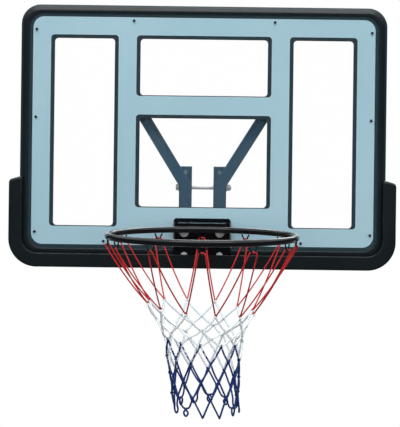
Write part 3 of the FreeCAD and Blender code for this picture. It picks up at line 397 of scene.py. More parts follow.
def dull_metal(name, colour, patch, edge_colour):
    """Plated or oiled steel: dull and cloudy, and brighter where its edges are scuffed."""
    made, tree, shader = bare_material(name)
    grain = use_group(tree, SURFACE_GRAIN, {"Color": colour, "Patch Color": patch, "Patch Scale": 90.0,
                                            "Grain Scale": 1800.0, "Smooth": 0.26, "Rough": 0.46})
    edged = use_group(tree, EDGE_WEAR_AND_HIGHLIGHT, {"Color": grain["Color"], "Edge Color": edge_colour, "Reach": 0.0008,
                                         "Amount": 0.8, "Breakup Scale": 300.0})
    cloud = bumped(tree, grain["Height"], distance=0.0001, strength=0.2)
    tree.links.new(edged["Color"], shader.inputs["Base Color"])
    tree.links.new(grain["Roughness"], shader.inputs["Roughness"])
    tree.links.new(cloud, shader.inputs["Normal"])
    shader.inputs["Metallic"].default_value = 0.25
    return made


def middle_of(name):
    low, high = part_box(name)
    return (low + high) / 2


zinc = dull_metal("zinc_plate", ZINC, ZINC_PATCH, ZINC_WORN)
tie_low, tie_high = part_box("tie_bolt")
tie_nut_low, tie_nut_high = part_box("tie_nut")
tie_axis = middle_of("tie_bolt")
tie_flats = tie_high.y - tie_low.y
tie_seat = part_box("tie_washers")[0].x - tie_low.x
tie_length = tie_high.x - tie_low.x
tie_plain = tie_length - TIE_THREAD
tie_rings = hex_block(tie_flats, 0.0, tie_seat, low_chamfer=True)
tie_rings += [turned_ring(TIE_RADIUS, tie_seat), turned_ring(TIE_RADIUS, tie_plain)]
tie_rings += thread(TIE_RADIUS, TIE_PITCH, tie_plain, tie_length - BOLT_POINT)
tie_rings.append(turned_ring(TIE_RADIUS * TIE_POINT_SHARE, tie_length))
tie_mesh = turned_mesh(tie_rings, [Matrix.Translation((tie_low.x, tie_axis.y, tie_axis.z)) @ ALONG_X])
stand_for(new_piece("tie_bolt_forged", tie_mesh, zinc, HARD_EDGE), "board", "zinc", "tie_bolt")

tie_nut_rings = nut_rings(tie_flats, TIE_RADIUS, tie_nut_high.x - tie_nut_low.x)
tie_nut_place = Matrix.Translation((tie_nut_low.x, tie_axis.y, tie_axis.z)) @ ALONG_X
tie_nut_mesh = turned_mesh(tie_nut_rings, [tie_nut_place], close=True)
stand_for(new_piece("tie_nut_forged", tie_nut_mesh, zinc, HARD_EDGE), "board", "zinc", "tie_nut")
dress("tie_washers", zinc)
soften("tie_washers", WASHER_EDGE)

# Strut screws: short zinc hex screws with plain washers. They hold the struts' upper ends to round bosses
# that are moulded into the frame's posts.
STRUT_SCREW_FLATS = 0.013
STRUT_SCREW_RADIUS = 0.004
STRUT_SCREW_PITCH = 0.00125
STRUT_SCREW_PLAIN = 0.002
STRUT_SCREW_POINT_SHARE = 0.8
ALONG_FRONT = Matrix.Rotation(math.pi / 2, 4, "X")
strut_screw_low, strut_screw_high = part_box("strut_screws")
strut_screw_length = strut_screw_high.y - strut_screw_low.y
strut_screw_head = strut_screw_high.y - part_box("strut_washers")[1].y
strut_screw_x = strut_screw_high.x - STRUT_SCREW_FLATS / math.sqrt(3)
strut_screw_z = middle_of("strut_screws").z


def toward_front(across, back, height):
    """Where a turned piece's rings stand, with their axis toward the board's front."""
    return Matrix.Translation((across, back, height)) @ ALONG_FRONT


strut_screw_rings = hex_block(STRUT_SCREW_FLATS, 0.0, strut_screw_head, low_chamfer=True)
strut_screw_rings.append(turned_ring(STRUT_SCREW_RADIUS, strut_screw_head))
strut_screw_rings += thread(STRUT_SCREW_RADIUS, STRUT_SCREW_PITCH, strut_screw_head + STRUT_SCREW_PLAIN,
                            strut_screw_length - BOLT_POINT)
strut_screw_rings.append(turned_ring(STRUT_SCREW_RADIUS * STRUT_SCREW_POINT_SHARE, strut_screw_length))
strut_screw_places = [toward_front(across, strut_screw_high.y, strut_screw_z)
                      for across in (-strut_screw_x, strut_screw_x)]
strut_screw_mesh = turned_mesh(strut_screw_rings, strut_screw_places)
strut_screws = new_piece("strut_screws_forged", strut_screw_mesh, zinc, HARD_EDGE)
stand_for(strut_screws, "board", "zinc", "strut_screws")
dress("strut_washers", zinc)
soften("strut_washers", WASHER_EDGE)

# Hole plugs: soft slate caps pushed into the front mouths of the bars' upper mounting holes, flush with the
# bars, so that no rain stands in the tubes. They are picked out to reach the bolts.
PLUG_SLATE = (0.130, 0.185, 0.215, 1.0)
PLUG_PATCH = (0.105, 0.155, 0.185, 1.0)
PLUG_CLEARANCE = 0.0001
PLUG_DEPTH = 0.006
PLUG_ROUND = 0.0009
PLUG_ROUND_STEP = 0.3
PLUG_DISH = 0.0007
PLUG_DISH_SHARE = 0.55
PLUG_SOFT_EDGE = 60
MILLIMETRE = 0.001
mount_holes = frame["record"]["mounts"][0]["dims"]
mount_rise = mount_holes["spacing_y_mm"] / 2 * MILLIMETRE
plug_radius = mount_holes["hole_r_mm"] * MILLIMETRE - PLUG_CLEARANCE
plug_rubber = edged_coat("plug_rubber", PLUG_SLATE, PLUG_PATCH, SLATE_WEAR_AND_HIGHLIGHT, smooth=0.45, rough=0.65,
                        gloss=0.20, edge_amount=0.2, dust=0.1)
plug_rings = [turned_ring(plug_radius, -PLUG_DEPTH), turned_ring(plug_radius, -PLUG_ROUND)]
plug_rings.append(turned_ring(plug_radius - PLUG_ROUND * PLUG_ROUND_STEP, -PLUG_ROUND * PLUG_ROUND_STEP))
plug_rings.append(turned_ring(plug_radius - PLUG_ROUND, 0.0))
plug_rings.append(turned_ring(plug_radius * PLUG_DISH_SHARE, -PLUG_DISH))
plug_places = [toward_front(middle_of(bar).x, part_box(bar)[0].y, mount_rise) for bar in MOUNT_BARS]
hole_plugs = new_piece("hole_plugs", turned_mesh(plug_rings, plug_places), plug_rubber, PLUG_SOFT_EDGE)
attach(hole_plugs, "board")

# Frame: a black moulded tray with four windows and a shallow recess for the sheet. It is one moulding in
# satin plastic, open at the back; the lips inside the windows are painted slate, a painted reflection of the
# sheet.
MOULDED_BLACK = (0.0062, 0.0104, 0.0124, 1.0)
MOULDED_PATCH = (0.0082, 0.0124, 0.0144, 1.0)
MOULDED_WORN = (0.075, 0.085, 0.092, 1.0)
LIP_PAINTED_SHEEN = (0.011, 0.027, 0.036, 1.0)
RECESS_DEPTH = 0.004
LIP_BAND_SHARES = (0.9, 1.3)
FRAME_EDGE = 0.0006


def moulded_plastic(name, colour, patch, edge_colour, gloss, dust):
    """Black moulded plastic: leathery grain, paler corners, faint dust; on the guard the corners also carry a
    painted highlight. Gives back its last colour too.
    """
    made, tree, shader = bare_material(name)
    grain = use_group(tree, SURFACE_GRAIN, {"Color": colour, "Patch Color": patch, "Patch Scale": 5.0,
                                            "Grain Scale": 1100.0, "Smooth": 0.22, "Rough": 0.36})
    edged = use_group(tree, EDGE_WEAR_AND_HIGHLIGHT, {"Color": grain["Color"], "Edge Color": edge_colour, "Reach": 0.004,
                                         "Amount": 0.35, "Breakup Scale": 45.0})
    dusty = use_group(tree, SETTLED_DUST, {"Color": edged["Color"], "Amount": dust})
    leather = bumped(tree, grain["Height"], distance=0.0003, strength=0.35, facing=edged["Normal"])
    tree.links.new(dusty["Color"], shader.inputs["Base Color"])
    tree.links.new(grain["Roughness"], shader.inputs["Roughness"])
    tree.links.new(leather, shader.inputs["Normal"])
    shader.inputs["Specular IOR Level"].default_value = gloss
    return made, tree, shader, dusty["Color"]


frame_plastic, frame_tree, frame_shader, frame_colour = moulded_plastic(
    "frame_plastic", MOULDED_BLACK, MOULDED_PATCH, MOULDED_WORN, gloss=0.26, dust=0.03)
frame_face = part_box("backboard_frame")[0].y
# Painted reflection: the band at the recess's depth takes a slate colour for the sheet's sheen on the black
# lips.
lip_front, lip_back = [frame_face + RECESS_DEPTH * share for share in LIP_BAND_SHARES]
frame_depth = one_axis(frame_tree, object_place(frame_tree), "Y")
behind_face = maths(frame_tree, "GREATER_THAN", frame_depth, lip_front)
before_back = maths(frame_tree, "LESS_THAN", frame_depth, lip_back)
in_recess = maths(frame_tree, "MULTIPLY", behind_face, before_back)
lip_sheen_colour = mix_colours(frame_tree, in_recess, frame_colour, LIP_PAINTED_SHEEN)
frame_tree.links.new(lip_sheen_colour, frame_shader.inputs["Base Color"])
dress("backboard_frame", frame_plastic)
soften("backboard_frame", FRAME_EDGE)

# Printed mask: a thin blue-grey film between the sheet and the frame, with the four windows cut out of it.
# Every cut edge has a painted highlight that makes it paler, and the ink is slightly uneven over the wide
# bands.
MASK_BLUE = (0.315, 0.490, 0.565, 1.0)
MASK_PATCH = (0.340, 0.510, 0.585, 1.0)
MASK_EDGE_HIGHLIGHT = (0.440, 0.610, 0.690, 1.0)
mask_ink, mask_tree, mask_shader = bare_material("mask_ink")
mask_grain = use_group(mask_tree, SURFACE_GRAIN, {"Color": MASK_BLUE, "Patch Color": MASK_PATCH,
                                                  "Patch Scale": 3.0, "Grain Scale": 500.0,
                                                  "Smooth": 0.42, "Rough": 0.60})
# Painted highlight: paler ink along every cut edge.
mask_edge_highlight = use_group(mask_tree, EDGE_WEAR_AND_HIGHLIGHT, {"Color": mask_grain["Color"], "Edge Color": MASK_EDGE_HIGHLIGHT,
                                             "Reach": 0.0055, "Amount": 1.0, "Breakup Scale": 3.0})
mask_tree.links.new(mask_edge_highlight["Color"], mask_shader.inputs["Base Color"])
mask_tree.links.new(mask_grain["Roughness"], mask_shader.inputs["Roughness"])
mask_shader.inputs["Specular IOR Level"].default_value = 0.2
dress("printed_mask", mask_ink)

# Clear sheet: polycarbonate that fills the recess and takes the ball's knocks. It is glossy, nearly
# colourless face on, with a few hairline scuffs; seen flatter, a pale tint shows more, a painted reflection.
SHEET_SHEEN_TINT = (0.55, 0.63, 0.66, 1.0)
SHEET_FACE_ON = 0.008
SHEET_GRAZING_SHEEN = 0.42
SHEET_SLANT_SPAN = (0.25, 1.0)
SHEET_GAP = 0.00015
SCUFF_SCALE = 26.0
SCUFF_SPAN = (0.52, 0.72, 0.04, 0.16)
clear_sheet, sheet_tree, sheet_shader = bare_material("clear_sheet_plastic")
sheet_slant = add_node(sheet_tree, "ShaderNodeLayerWeight", {"Blend": 0.35}).outputs["Facing"]
sheet_specks = noise(sheet_tree, object_place(sheet_tree), SCUFF_SCALE, detail=8.0)
sheet_scuffs = spread(sheet_tree, sheet_specks, *SCUFF_SPAN)
# Painted reflection: the pale tint grows more opaque the flatter the sheet is seen.
sheet_painted_sheen = spread(sheet_tree, sheet_slant, *SHEET_SLANT_SPAN, SHEET_FACE_ON, SHEET_GRAZING_SHEEN)
sheet_tree.links.new(sheet_scuffs, sheet_shader.inputs["Roughness"])
sheet_tree.links.new(sheet_painted_sheen, sheet_shader.inputs["Alpha"])
sheet_shader.inputs["Base Color"].default_value = SHEET_SHEEN_TINT
sheet_shader.inputs["IOR"].default_value = 1.58
dress("clear_panel", clear_sheet)
sheet_ease = node["clear_panel"].modifiers.new("air_gap", "DISPLACE")
sheet_ease.strength = -SHEET_GAP
sheet_ease.mid_level = 0.0

# Panel screws: ten small black pan-head screws with a cross recess. They go through clearance holes in the
# sheet and the mask and bite into the frame's skin.
SCREW_BLACK = (0.005, 0.011, 0.015, 1.0)
SCREW_PATCH = (0.009, 0.016, 0.020, 1.0)
SCREW_WORN = (0.09, 0.11, 0.12, 1.0)
SCREW_RADIUS = 0.002
SCREW_PITCH = 0.0014
SCREW_POINT = 0.002
SCREW_POINT_SHARES = (0.35, 0.9)
SCREW_NECK = 0.001
SCREW_HARD_EDGE = 40
HEAD_RADIUS = 0.004
HEAD_HEIGHT = 0.0024
HEAD_SEAT_SHARE = 0.96
HEAD_RING_SHARES = (1.0, 0.97, 0.88, 0.75, 0.6, 0.59, 0.45, 0.3, 0.16, 0.08)
DOME_DROP = 0.38
DOME_POWER = 2.4
CROSS_HALF = 0.0006
CROSS_REACH = 0.0024
CROSS_DEPTH = 0.0012
sheet_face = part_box("clear_panel")[0].y
screw_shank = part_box("panel_screws")[1].y - sheet_face


def screw_centres():
    """Where the screws stand, read from the heads of their carried solids."""
    heads = []
    for corner in node["panel_screws"].data.vertices:
        if corner.co.y > sheet_face - HEAD_HEIGHT / 2:
            continue
        near = [head for head in heads if (head[0] - corner.co).length < 3 * HEAD_RADIUS]
        if near:
            near[0].append(corner.co.copy())
        else:
            heads.append([corner.co.copy()])
    return [sum(head, Vector()) / len(head) for head in heads]


def head_ring(radius):
    """A ring of the domed head, sunk where the cross recess runs."""
    height = HEAD_HEIGHT * (1 - DOME_DROP * (radius / HEAD_RADIUS) ** DOME_POWER)
    recess = CROSS_DEPTH * (1 - radius / CROSS_REACH / 2)

    def rise(angle):
        across = abs(radius * math.cos(angle))
        up = abs(radius * math.sin(angle))
        inside = min(across, up) < CROSS_HALF and radius < CROSS_REACH
        return height - recess if inside else height

    return turned_ring(radius, rise)


tip_share, taper_share = SCREW_POINT_SHARES
screw_rings = [turned_ring(SCREW_RADIUS * tip_share, -screw_shank)]
screw_rings.append(turned_ring(SCREW_RADIUS * taper_share, SCREW_POINT - screw_shank))
screw_rings += thread(SCREW_RADIUS, SCREW_PITCH, SCREW_POINT - screw_shank, -SCREW_NECK)
screw_rings += [turned_ring(SCREW_RADIUS, 0.0), turned_ring(HEAD_RADIUS * HEAD_SEAT_SHARE, 0.0)]
screw_rings += [head_ring(HEAD_RADIUS * share) for share in HEAD_RING_SHARES]
screw_places = [toward_front(centre.x, sheet_face, centre.z) for centre in screw_centres()]
screw_mesh = turned_mesh(screw_rings, screw_places)
black_screw = edged_coat("black_screw_coat", SCREW_BLACK, SCREW_PATCH, SCREW_WORN, smooth=0.28, rough=0.42,
                        gloss=0.3, edge_amount=0.6, dust=0.0)
panel_screws = new_piece("panel_screws_cut", screw_mesh, black_screw, SCREW_HARD_EDGE)
stand_for(panel_screws, "board", "screw_black", "panel_screws")

# Bumper guard: a black moulded U that wraps the frame's bottom and lower sides, with a rounded lip over its
# face. It is pushed on, and its satin skin is painted paler along its edges: scuffs, and a painted highlight.
GUARD_BLACK = (0.0046, 0.0084, 0.0102, 1.0)
GUARD_PATCH = (0.0066, 0.0104, 0.0122, 1.0)
# Edge colour: scuffs, and a painted highlight along the lip.
GUARD_WEAR_AND_HIGHLIGHT = (0.155, 0.170, 0.180, 1.0)
GUARD_EDGE = 0.0022
GUARD_EDGE_CUTS = 3
guard_plastic = moulded_plastic("guard_plastic", GUARD_BLACK, GUARD_PATCH, GUARD_WEAR_AND_HIGHLIGHT, gloss=0.33,
                                dust=0.03)[0]
dress("bumper_guard", guard_plastic)
soften("bumper_guard", GUARD_EDGE, GUARD_EDGE_CUTS)

# Rim base: a steel plate on the board's face with a folded cheek at each side, powder painted black. Four
# bolts pull it through the guard, the sheet and the frame against the bars.
RIM_BLACK = (0.0018, 0.003, 0.0045, 1.0)
RIM_PATCH = (0.003, 0.0045, 0.006, 1.0)
RIM_WORN = (0.14, 0.15, 0.155, 1.0)
RIM_BASE_EDGE = 0.0007
rim_paint = edged_coat("rim_paint", RIM_BLACK, RIM_PATCH, RIM_WORN, smooth=0.07, rough=0.12, gloss=0.40,
                      edge_amount=0.12, dust=0.0)
dress("rim_base", rim_paint)
soften("rim_base", RIM_BASE_EDGE)

# Hinge pin: a plain zinc pin through both cheeks of the base, held by a push-on cap at each end. The carrier
# tips on it when the ring is pulled down.
PIN_EDGE = 0.0005
PIN_CAP_EDGE = 0.0006
dress("hinge_pin", zinc)
soften("hinge_pin", PIN_EDGE)
dress("hinge_clips", zinc)
soften("hinge_clips", PIN_CAP_EDGE)

# Carrier: a folded steel box that tips on the pin and carries the ring, in the same black paint. Its front
# is cut to a saddle for the ring.
CARRIER_EDGE = 0.0006
dress("rim_carrier", rim_paint)
soften("rim_carrier", CARRIER_EDGE)

# Ring: one hoop of round steel rod, rolled, closed and welded into the carrier's saddle, then painted black
# with it. The welds are two rippled beads between the rod and the carrier's front.
WELD_HALF = 0.040
WELD_STEPS = 56
WELD_SIDES = 10
WELD_RADIUS = 0.0026
WELD_RIPPLE = 0.0045
WELD_RELIEF = 0.15
WELD_TAPER = 6
WELD_TIP_SHARE = 0.2
WELD_BACK_SHARE = 0.80
WELD_RISE_SHARE = 0.62
ring_low, ring_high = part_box("rim_ring")
ring_middle = middle_of("rim_ring")
rod_radius = (ring_high.z - ring_low.z) / 2
ring_radius = (ring_high.x - ring_low.x) / 2 - rod_radius


def tube_rows(mesh, path, radius_at, sides):
    """Skin a round tube along a path of points, and cap both of its ends."""
    rows = []
    across = None
    for index, point in enumerate(path):
        ahead = path[min(index + 1, len(path) - 1)] - path[max(index - 1, 0)]
        ahead.normalize()
        if across is None:
            across = ahead.orthogonal()
        across = (across - ahead * across.dot(ahead)).normalized()
        above = ahead.cross(across)
        row = []
        for side in range(sides):
            angle = 2 * math.pi * side / sides
            reach = radius_at(index, angle)
            row.append(mesh.verts.new(point + (across * math.cos(angle) + above * math.sin(angle)) * reach))
        rows.append(row)
    for below, ahead_row in zip(rows, rows[1:]):
        for side in range(sides):
            beside = (side + 1) % sides
            mesh.faces.new((below[side], below[beside], ahead_row[beside], ahead_row[side]))
    mesh.faces.new(list(reversed(rows[0])))
    mesh.faces.new(rows[-1])
    return rows


def bead_reach(index, angle):
    """A weld bead's radius: rippled along its length and drawn in at both ends."""
    share = index / WELD_STEPS
    taper = min(1.0, WELD_TAPER * min(share, 1 - share) + WELD_TIP_SHARE)
    ripple = math.cos(2 * math.pi * 2 * WELD_HALF * share / WELD_RIPPLE)
    return WELD_RADIUS * taper * (1 - WELD_RELIEF + WELD_RELIEF * ripple)


dress("rim_ring", rim_paint)
weld_arc = ring_radius + rod_radius * WELD_BACK_SHARE
weld_mesh = bmesh.new()
for level in (1, -1):
    bead = []
    for step in range(WELD_STEPS + 1):
        across = WELD_HALF * (2 * step / WELD_STEPS - 1)
        back = ring_middle.y + math.sqrt(weld_arc ** 2 - across ** 2)
        bead.append(Vector((across, back, ring_middle.z + level * rod_radius * WELD_RISE_SHARE)))
    tube_rows(weld_mesh, bead, bead_reach, WELD_SIDES)
ring_welds = new_piece("ring_welds", weld_mesh, rim_paint)
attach(ring_welds, "rim")

# Rim bolts: two long shoulder bolts with pale zinc washers and nuts hold the springs, and two hex bolts hold
# the foot of the base. All four end in washers and nuts inside the bars.
BOLT_RADIUS = 0.005
BOLT_FLATS = 0.017
BOLT_PITCH = 0.0015
BOLT_THREAD_END = 0.025
BOLT_POINT_SHARE = 0.8
BASE_PLATE = 0.004
RIM_WASHER_EDGE = 0.0004
spring_bolt_low, spring_bolt_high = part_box("spring_bolts")
spring_washer_low, spring_washer_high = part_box("spring_washers")
spring_nut_low, spring_nut_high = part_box("spring_nuts")
lower_bolt_low, lower_bolt_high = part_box("rim_lower_bolts")
rim_nut_low, rim_nut_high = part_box("rim_nuts")
upper_bolt_z = middle_of("spring_bolts").z
lower_bolt_z = middle_of("rim_lower_bolts").z
shoulder_radius = (spring_bolt_high.z - spring_bolt_low.z) / 2
bolt_x = (spring_bolt_high.x - spring_bolt_low.x) / 2 - shoulder_radius
base_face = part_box("rim_base")[1].y - BASE_PLATE
bolt_point = BOLT_RADIUS * BOLT_POINT_SHARE
bolt_tail = [turned_ring(bolt_point, 0.0)] + thread(BOLT_RADIUS, BOLT_PITCH, BOLT_POINT, BOLT_THREAD_END)

shoulder_start = spring_bolt_high.y - base_face
shoulder_end = spring_bolt_high.y - spring_washer_high.y
shoulder_thread = spring_bolt_high.y - spring_washer_low.y
shoulder_tip = spring_bolt_high.y - spring_bolt_low.y
shoulder_rings = bolt_tail + [turned_ring(BOLT_RADIUS, shoulder_start)]
shoulder_rings += [turned_ring(shoulder_radius, shoulder_start), turned_ring(shoulder_radius, shoulder_end)]
shoulder_rings.append(turned_ring(BOLT_RADIUS, shoulder_end))
shoulder_rings += thread(BOLT_RADIUS, BOLT_PITCH, shoulder_thread, shoulder_tip - BOLT_POINT)
shoulder_rings.append(turned_ring(bolt_point, shoulder_tip))
lower_seat = lower_bolt_high.y - base_face
lower_tip = lower_bolt_high.y - lower_bolt_low.y
lower_rings = bolt_tail + [turned_ring(BOLT_RADIUS, lower_seat)]
lower_rings += hex_block(BOLT_FLATS, lower_seat, lower_tip, high_chamfer=True)
spring_nut_rings = nut_rings(BOLT_FLATS, BOLT_RADIUS, spring_nut_high.y - spring_nut_low.y)
rim_nut_rings = nut_rings(BOLT_FLATS, BOLT_RADIUS, rim_nut_high.y - rim_nut_low.y)
upper_row = (upper_bolt_z,)
lower_row = (lower_bolt_z,)
rim_fasteners = [
    ("spring_bolts_turned", "spring_bolts", shoulder_rings, spring_bolt_high.y, upper_row, False),
    ("spring_nuts_forged", "spring_nuts", spring_nut_rings, spring_nut_high.y, upper_row, True),
    ("rim_lower_bolts_forged", "rim_lower_bolts", lower_rings, lower_bolt_high.y, lower_row, False),
    ("rim_nuts_forged", "rim_nuts", rim_nut_rings, rim_nut_high.y, upper_row + lower_row, True),
]
for name, carried, rings, back, heights, bored in rim_fasteners:
    places = [toward_front(across, back, height) for across in (-bolt_x, bolt_x) for height in heights]
    fastener_mesh = turned_mesh(rings, places, close=bored)
    stand_for(new_piece(name, fastener_mesh, zinc, HARD_EDGE), "board", "zinc", carried)
for washers in ("spring_washers", "rim_washers"):
    dress(washers, zinc)
    soften(washers, RIM_WASHER_EDGE)

# Springs: two compression springs of oiled round wire, wound on the shoulder bolts with their end turns laid
# close. They push the carrier back against the base.
SPRING_STEEL = (0.22, 0.22, 0.23, 1.0)
SPRING_PATCH = (0.15, 0.15, 0.155, 1.0)
SPRING_WORN = (0.42, 0.42, 0.43, 1.0)
WIRE_RADIUS = 0.0015
WIRE_SIDES = 12
SPRING_TURNS = 7
CLOSED_TURNS = 0.75
CLOSED_PITCH = 1.1 * 2 * WIRE_RADIUS
TURN_STEPS = 28
spring_low, spring_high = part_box("rim_springs")
coil_radius = (spring_high.z - spring_low.z) / 2 - WIRE_RADIUS
coil_length = spring_high.y - spring_low.y - 2 * WIRE_RADIUS


def coil_rise(turn):
    """How far along the spring a turn has come: flat end turns, even ones between."""
    closed = CLOSED_PITCH * CLOSED_TURNS
    if turn < CLOSED_TURNS:
        return CLOSED_PITCH * turn
    if turn > SPRING_TURNS - CLOSED_TURNS:
        return coil_length - CLOSED_PITCH * (SPRING_TURNS - turn)
    open_share = (turn - CLOSED_TURNS) / (SPRING_TURNS - 2 * CLOSED_TURNS)
    return closed + (coil_length - 2 * closed) * open_share


spring_wire = dull_metal("spring_wire_steel", SPRING_STEEL, SPRING_PATCH, SPRING_WORN)
for side, across in (("left", -bolt_x), ("right", bolt_x)):
    coil = []
    for step in range(SPRING_TURNS * TURN_STEPS + 1):
        turn = step / TURN_STEPS
        angle = 2 * math.pi * turn
        coil.append(Vector((across + coil_radius * math.cos(angle),
                            spring_high.y - WIRE_RADIUS - coil_rise(turn),
                            upper_bolt_z + coil_radius * math.sin(angle))))
    spring_mesh = bmesh.new()
    tube_rows(spring_mesh, coil, lambda index, angle: WIRE_RADIUS, WIRE_SIDES)
    spring = new_piece(f"{side}_spring_coil", spring_mesh, spring_wire)
    stand_for(spring, "board", "spring_steel", "rim_springs")
    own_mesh(spring)

# Net hooks: twelve short lengths of steel wire, bent, welded under the ring and painted black with it. Each
# holds one loop of the net.
dress("net_hooks", rim_paint)

# Net: soft braided cord, knotted in diamonds and dyed red, white and blue from the top. It hangs by twelve
# wide loops on the hooks, draws in below them, and ends in a row of free loops.
# Each cord has its dye, a painted shade for the hollows between its braid's strands, and a faded tone.
CORD_RED = (0.57, 0.021, 0.023, 1.0)
RED_CREASE_SHADE = (0.24, 0.008, 0.010, 1.0)
RED_FADED = (0.62, 0.065, 0.060, 1.0)
CORD_WHITE = (0.86, 0.91, 0.93, 1.0)
WHITE_CREASE_SHADE = (0.78, 0.84, 0.88, 1.0)
WHITE_FADED = (0.93, 0.95, 0.97, 1.0)
# Painted shade for the white cord's rear strands.
WHITE_REAR_SHADE = (0.62, 0.70, 0.74, 1.0)
CORD_BLUE = (0.009, 0.036, 0.165, 1.0)
BLUE_CREASE_SHADE = (0.003, 0.013, 0.062, 1.0)
BLUE_FADED = (0.035, 0.085, 0.30, 1.0)
RED_RADIUS = 0.0017
WHITE_RADIUS = 0.0025
BLUE_RADIUS = 0.0023
CORD_SIDES = 12
CORD_STEP = 0.0024
BRAID_LENGTH = 0.0085
BRAID_RELIEF = 0.09
BRAID_STRANDS = 3
KNOT_REACH = 1.1
KNOT_CORD = 0.82
KNOT_TURNS = 1.25
KNOT_STEPS = 8
KNOT_PITCH = 1.7
HOOK_COUNT = 12
HOOK_WIRE = 0.004
# Steps along the ring, away from its axis and upward: where a loop leaves its hook, and its shoulder above.
LOOP_SIDE = ((0.0085, 0.004, -0.006), (0.0051, 0.0024, -0.0018))
LOOP_KNOT_RISE = 0.003
LEG_SAG = 0.008
MESH_SAG = 0.0025
SAG_SPAN = (0.2, 1.6)
BULGE_SPAN = (-1.0, 1.0)
SAG_SHARES = (0.0, 0.25, 0.5, 0.75, 1.0)
NET_SEED = 12
NET_SCATTER = 0.0022
NET_TWIST = math.radians(-7.5)
NET_LEAN = 0.09
NET_SWAY = 0.062
# Each row of knots: its drop below the ring, its radius, and how far it lies on from the hook.
NET_ROWS = [
    (0.178, 0.133, 0.5),
    (0.214, 0.112, 0.0),
    (0.235, 0.102, 0.5),
    (0.254, 0.095, 0.0),
    (0.297, 0.090, 0.5),
    (0.343, 0.086, 0.0),
    (0.386, 0.083, 0.5),
    (0.431, 0.080, 0.0),
]
NET_END = len(NET_ROWS) - 1
WHITE_TOP = 0
BLUE_TOPS = (3, 3, 3, 4, 5, 5, 5, 5, 5, 4, 3, 3)
ROUND_ENDS = (3, 4, 7, 9, 10)
EYE_ENDS = (2, 5, 6, 8, 11)
EYE_CROSSING = BLUE_RADIUS * 1.1
# The free loops' bends, in the same steps from each loop's foot.
ROUND_BEND = ((-0.009, 0.0, 0.010), (-0.004, 0.0, 0.001), (0.004, 0.0, 0.001), (0.009, 0.0, 0.010))
EYE_BEND = ((0.0, EYE_CROSSING, 0.018), (0.006, 0.0, 0.008), (0.0, 0.0, 0.0), (-0.006, 0.0, 0.008),
            (0.0, -EYE_CROSSING, 0.018))
POINT_BEND = ((-0.002, 0.0, 0.004), (0.0, 0.0, 0.0), (0.002, 0.0, 0.004))
STRAND_SPAN = (0.15, 0.7)
FADE_SCALE = 45.0
FADE_SPAN = (0.4, 0.75)
FIBRE_SCALE = 2600.0
FIBRE_SHARE = 0.2
FIBRE_ROUGHNESS = (0.3, 0.7, 0.72, 0.92)
REAR_SHADE_SPAN = (-0.04, 0.06)
FLECK_SPAN = (-0.315, -0.252)
FLECK_SCALE = 110.0
FLECK_EDGE = (0.52, 0.60)
UP = Vector((0, 0, 1))
chance = random.Random(NET_SEED)
scatter = {}
for row in range(len(NET_ROWS)):
    for index in range(HOOK_COUNT):
        scatter[row, index] = Vector([chance.uniform(-NET_SCATTER, NET_SCATTER) for axis in range(3)])


def about_ring(radius, height, steps, twist=0.0):
    """A point about the ring's axis; step 0 faces the player and each step is one hook."""
    angle = 2 * math.pi * steps / HOOK_COUNT - math.pi / 2 + twist
    across = ring_middle.x + radius * math.cos(angle)
    back = ring_middle.y + radius * math.sin(angle)
    return Vector((across, back, height))


def along_ring(steps):
    angle = 2 * math.pi * steps / HOOK_COUNT
    return Vector((math.cos(angle), math.sin(angle), 0))


def beside_hook(steps, along, outward, upward):
    """A short way along the ring, away from its axis and upward."""
    ahead = along_ring(steps)
    return ahead * along + ahead.cross(UP) * outward + UP * upward


def net_knot(row, index):
    drop, radius, lead = NET_ROWS[row]
    place = about_ring(radius, ring_middle.z - drop, index + lead, NET_TWIST * row / NET_END)
    place.x += NET_SWAY * (drop - NET_ROWS[0][0])
    place.z -= NET_LEAN * place.x * (1 - row / NET_END)
    return place + scatter[row, index % HOOK_COUNT]


def rounded_path(points):
    """A smooth line through a few points, walked in even steps."""
    ends = [points[0] * 2 - points[1]] + points + [points[-1] * 2 - points[-2]]
    path = []
    for before, start, end, after in zip(ends, ends[1:], ends[2:], ends[3:]):
        count = max(2, round((end - start).length / CORD_STEP))
        square = 2 * before - 5 * start + 4 * end - after
        cube = 3 * start - before - 3 * end + after
        for step in range(count):
            t = step / count
            path.append(0.5 * (2 * start + (end - before) * t + square * t ** 2 + cube * t ** 3))
    path.append(points[-1])
    return path


def braid_reach(index, angle):
    """The cord's surface, as a share of its radius: two sets of strands that cross over each other."""
    along = 2 * math.pi * index * CORD_STEP / BRAID_LENGTH
    turn = BRAID_STRANDS * angle
    return 1 + BRAID_RELIEF * math.cos(turn + along) * math.cos(turn - along)


def lay_cord(mesh, points, radius):
    """One length of braided cord, with its braid's place kept on the surface."""
    path = rounded_path(points)
    rows = tube_rows(mesh, path, lambda index, angle: radius * braid_reach(index, angle), CORD_SIDES)
    braid = mesh.loops.layers.uv.verify()
    for index, row in enumerate(rows):
        for side, corner in enumerate(row):
            for loop in corner.link_loops:
                loop[braid].uv = (side / CORD_SIDES, index * CORD_STEP / BRAID_LENGTH)


def tie_knot(mesh, middle, along, radius):
    """A few close turns of cord about a crossing."""
    outward = along.orthogonal().normalized()
    above = along.cross(outward)
    turns = []
    for step in range(int(KNOT_TURNS * KNOT_STEPS) + 1):
        angle = 2 * math.pi * step / KNOT_STEPS
        slide = along * radius * KNOT_PITCH * (step / (KNOT_TURNS * KNOT_STEPS) - 0.5) * KNOT_TURNS
        around = (outward * math.cos(angle) + above * math.sin(angle)) * radius * KNOT_REACH
        turns.append(middle + slide + around)
    lay_cord(mesh, turns, radius * KNOT_CORD)


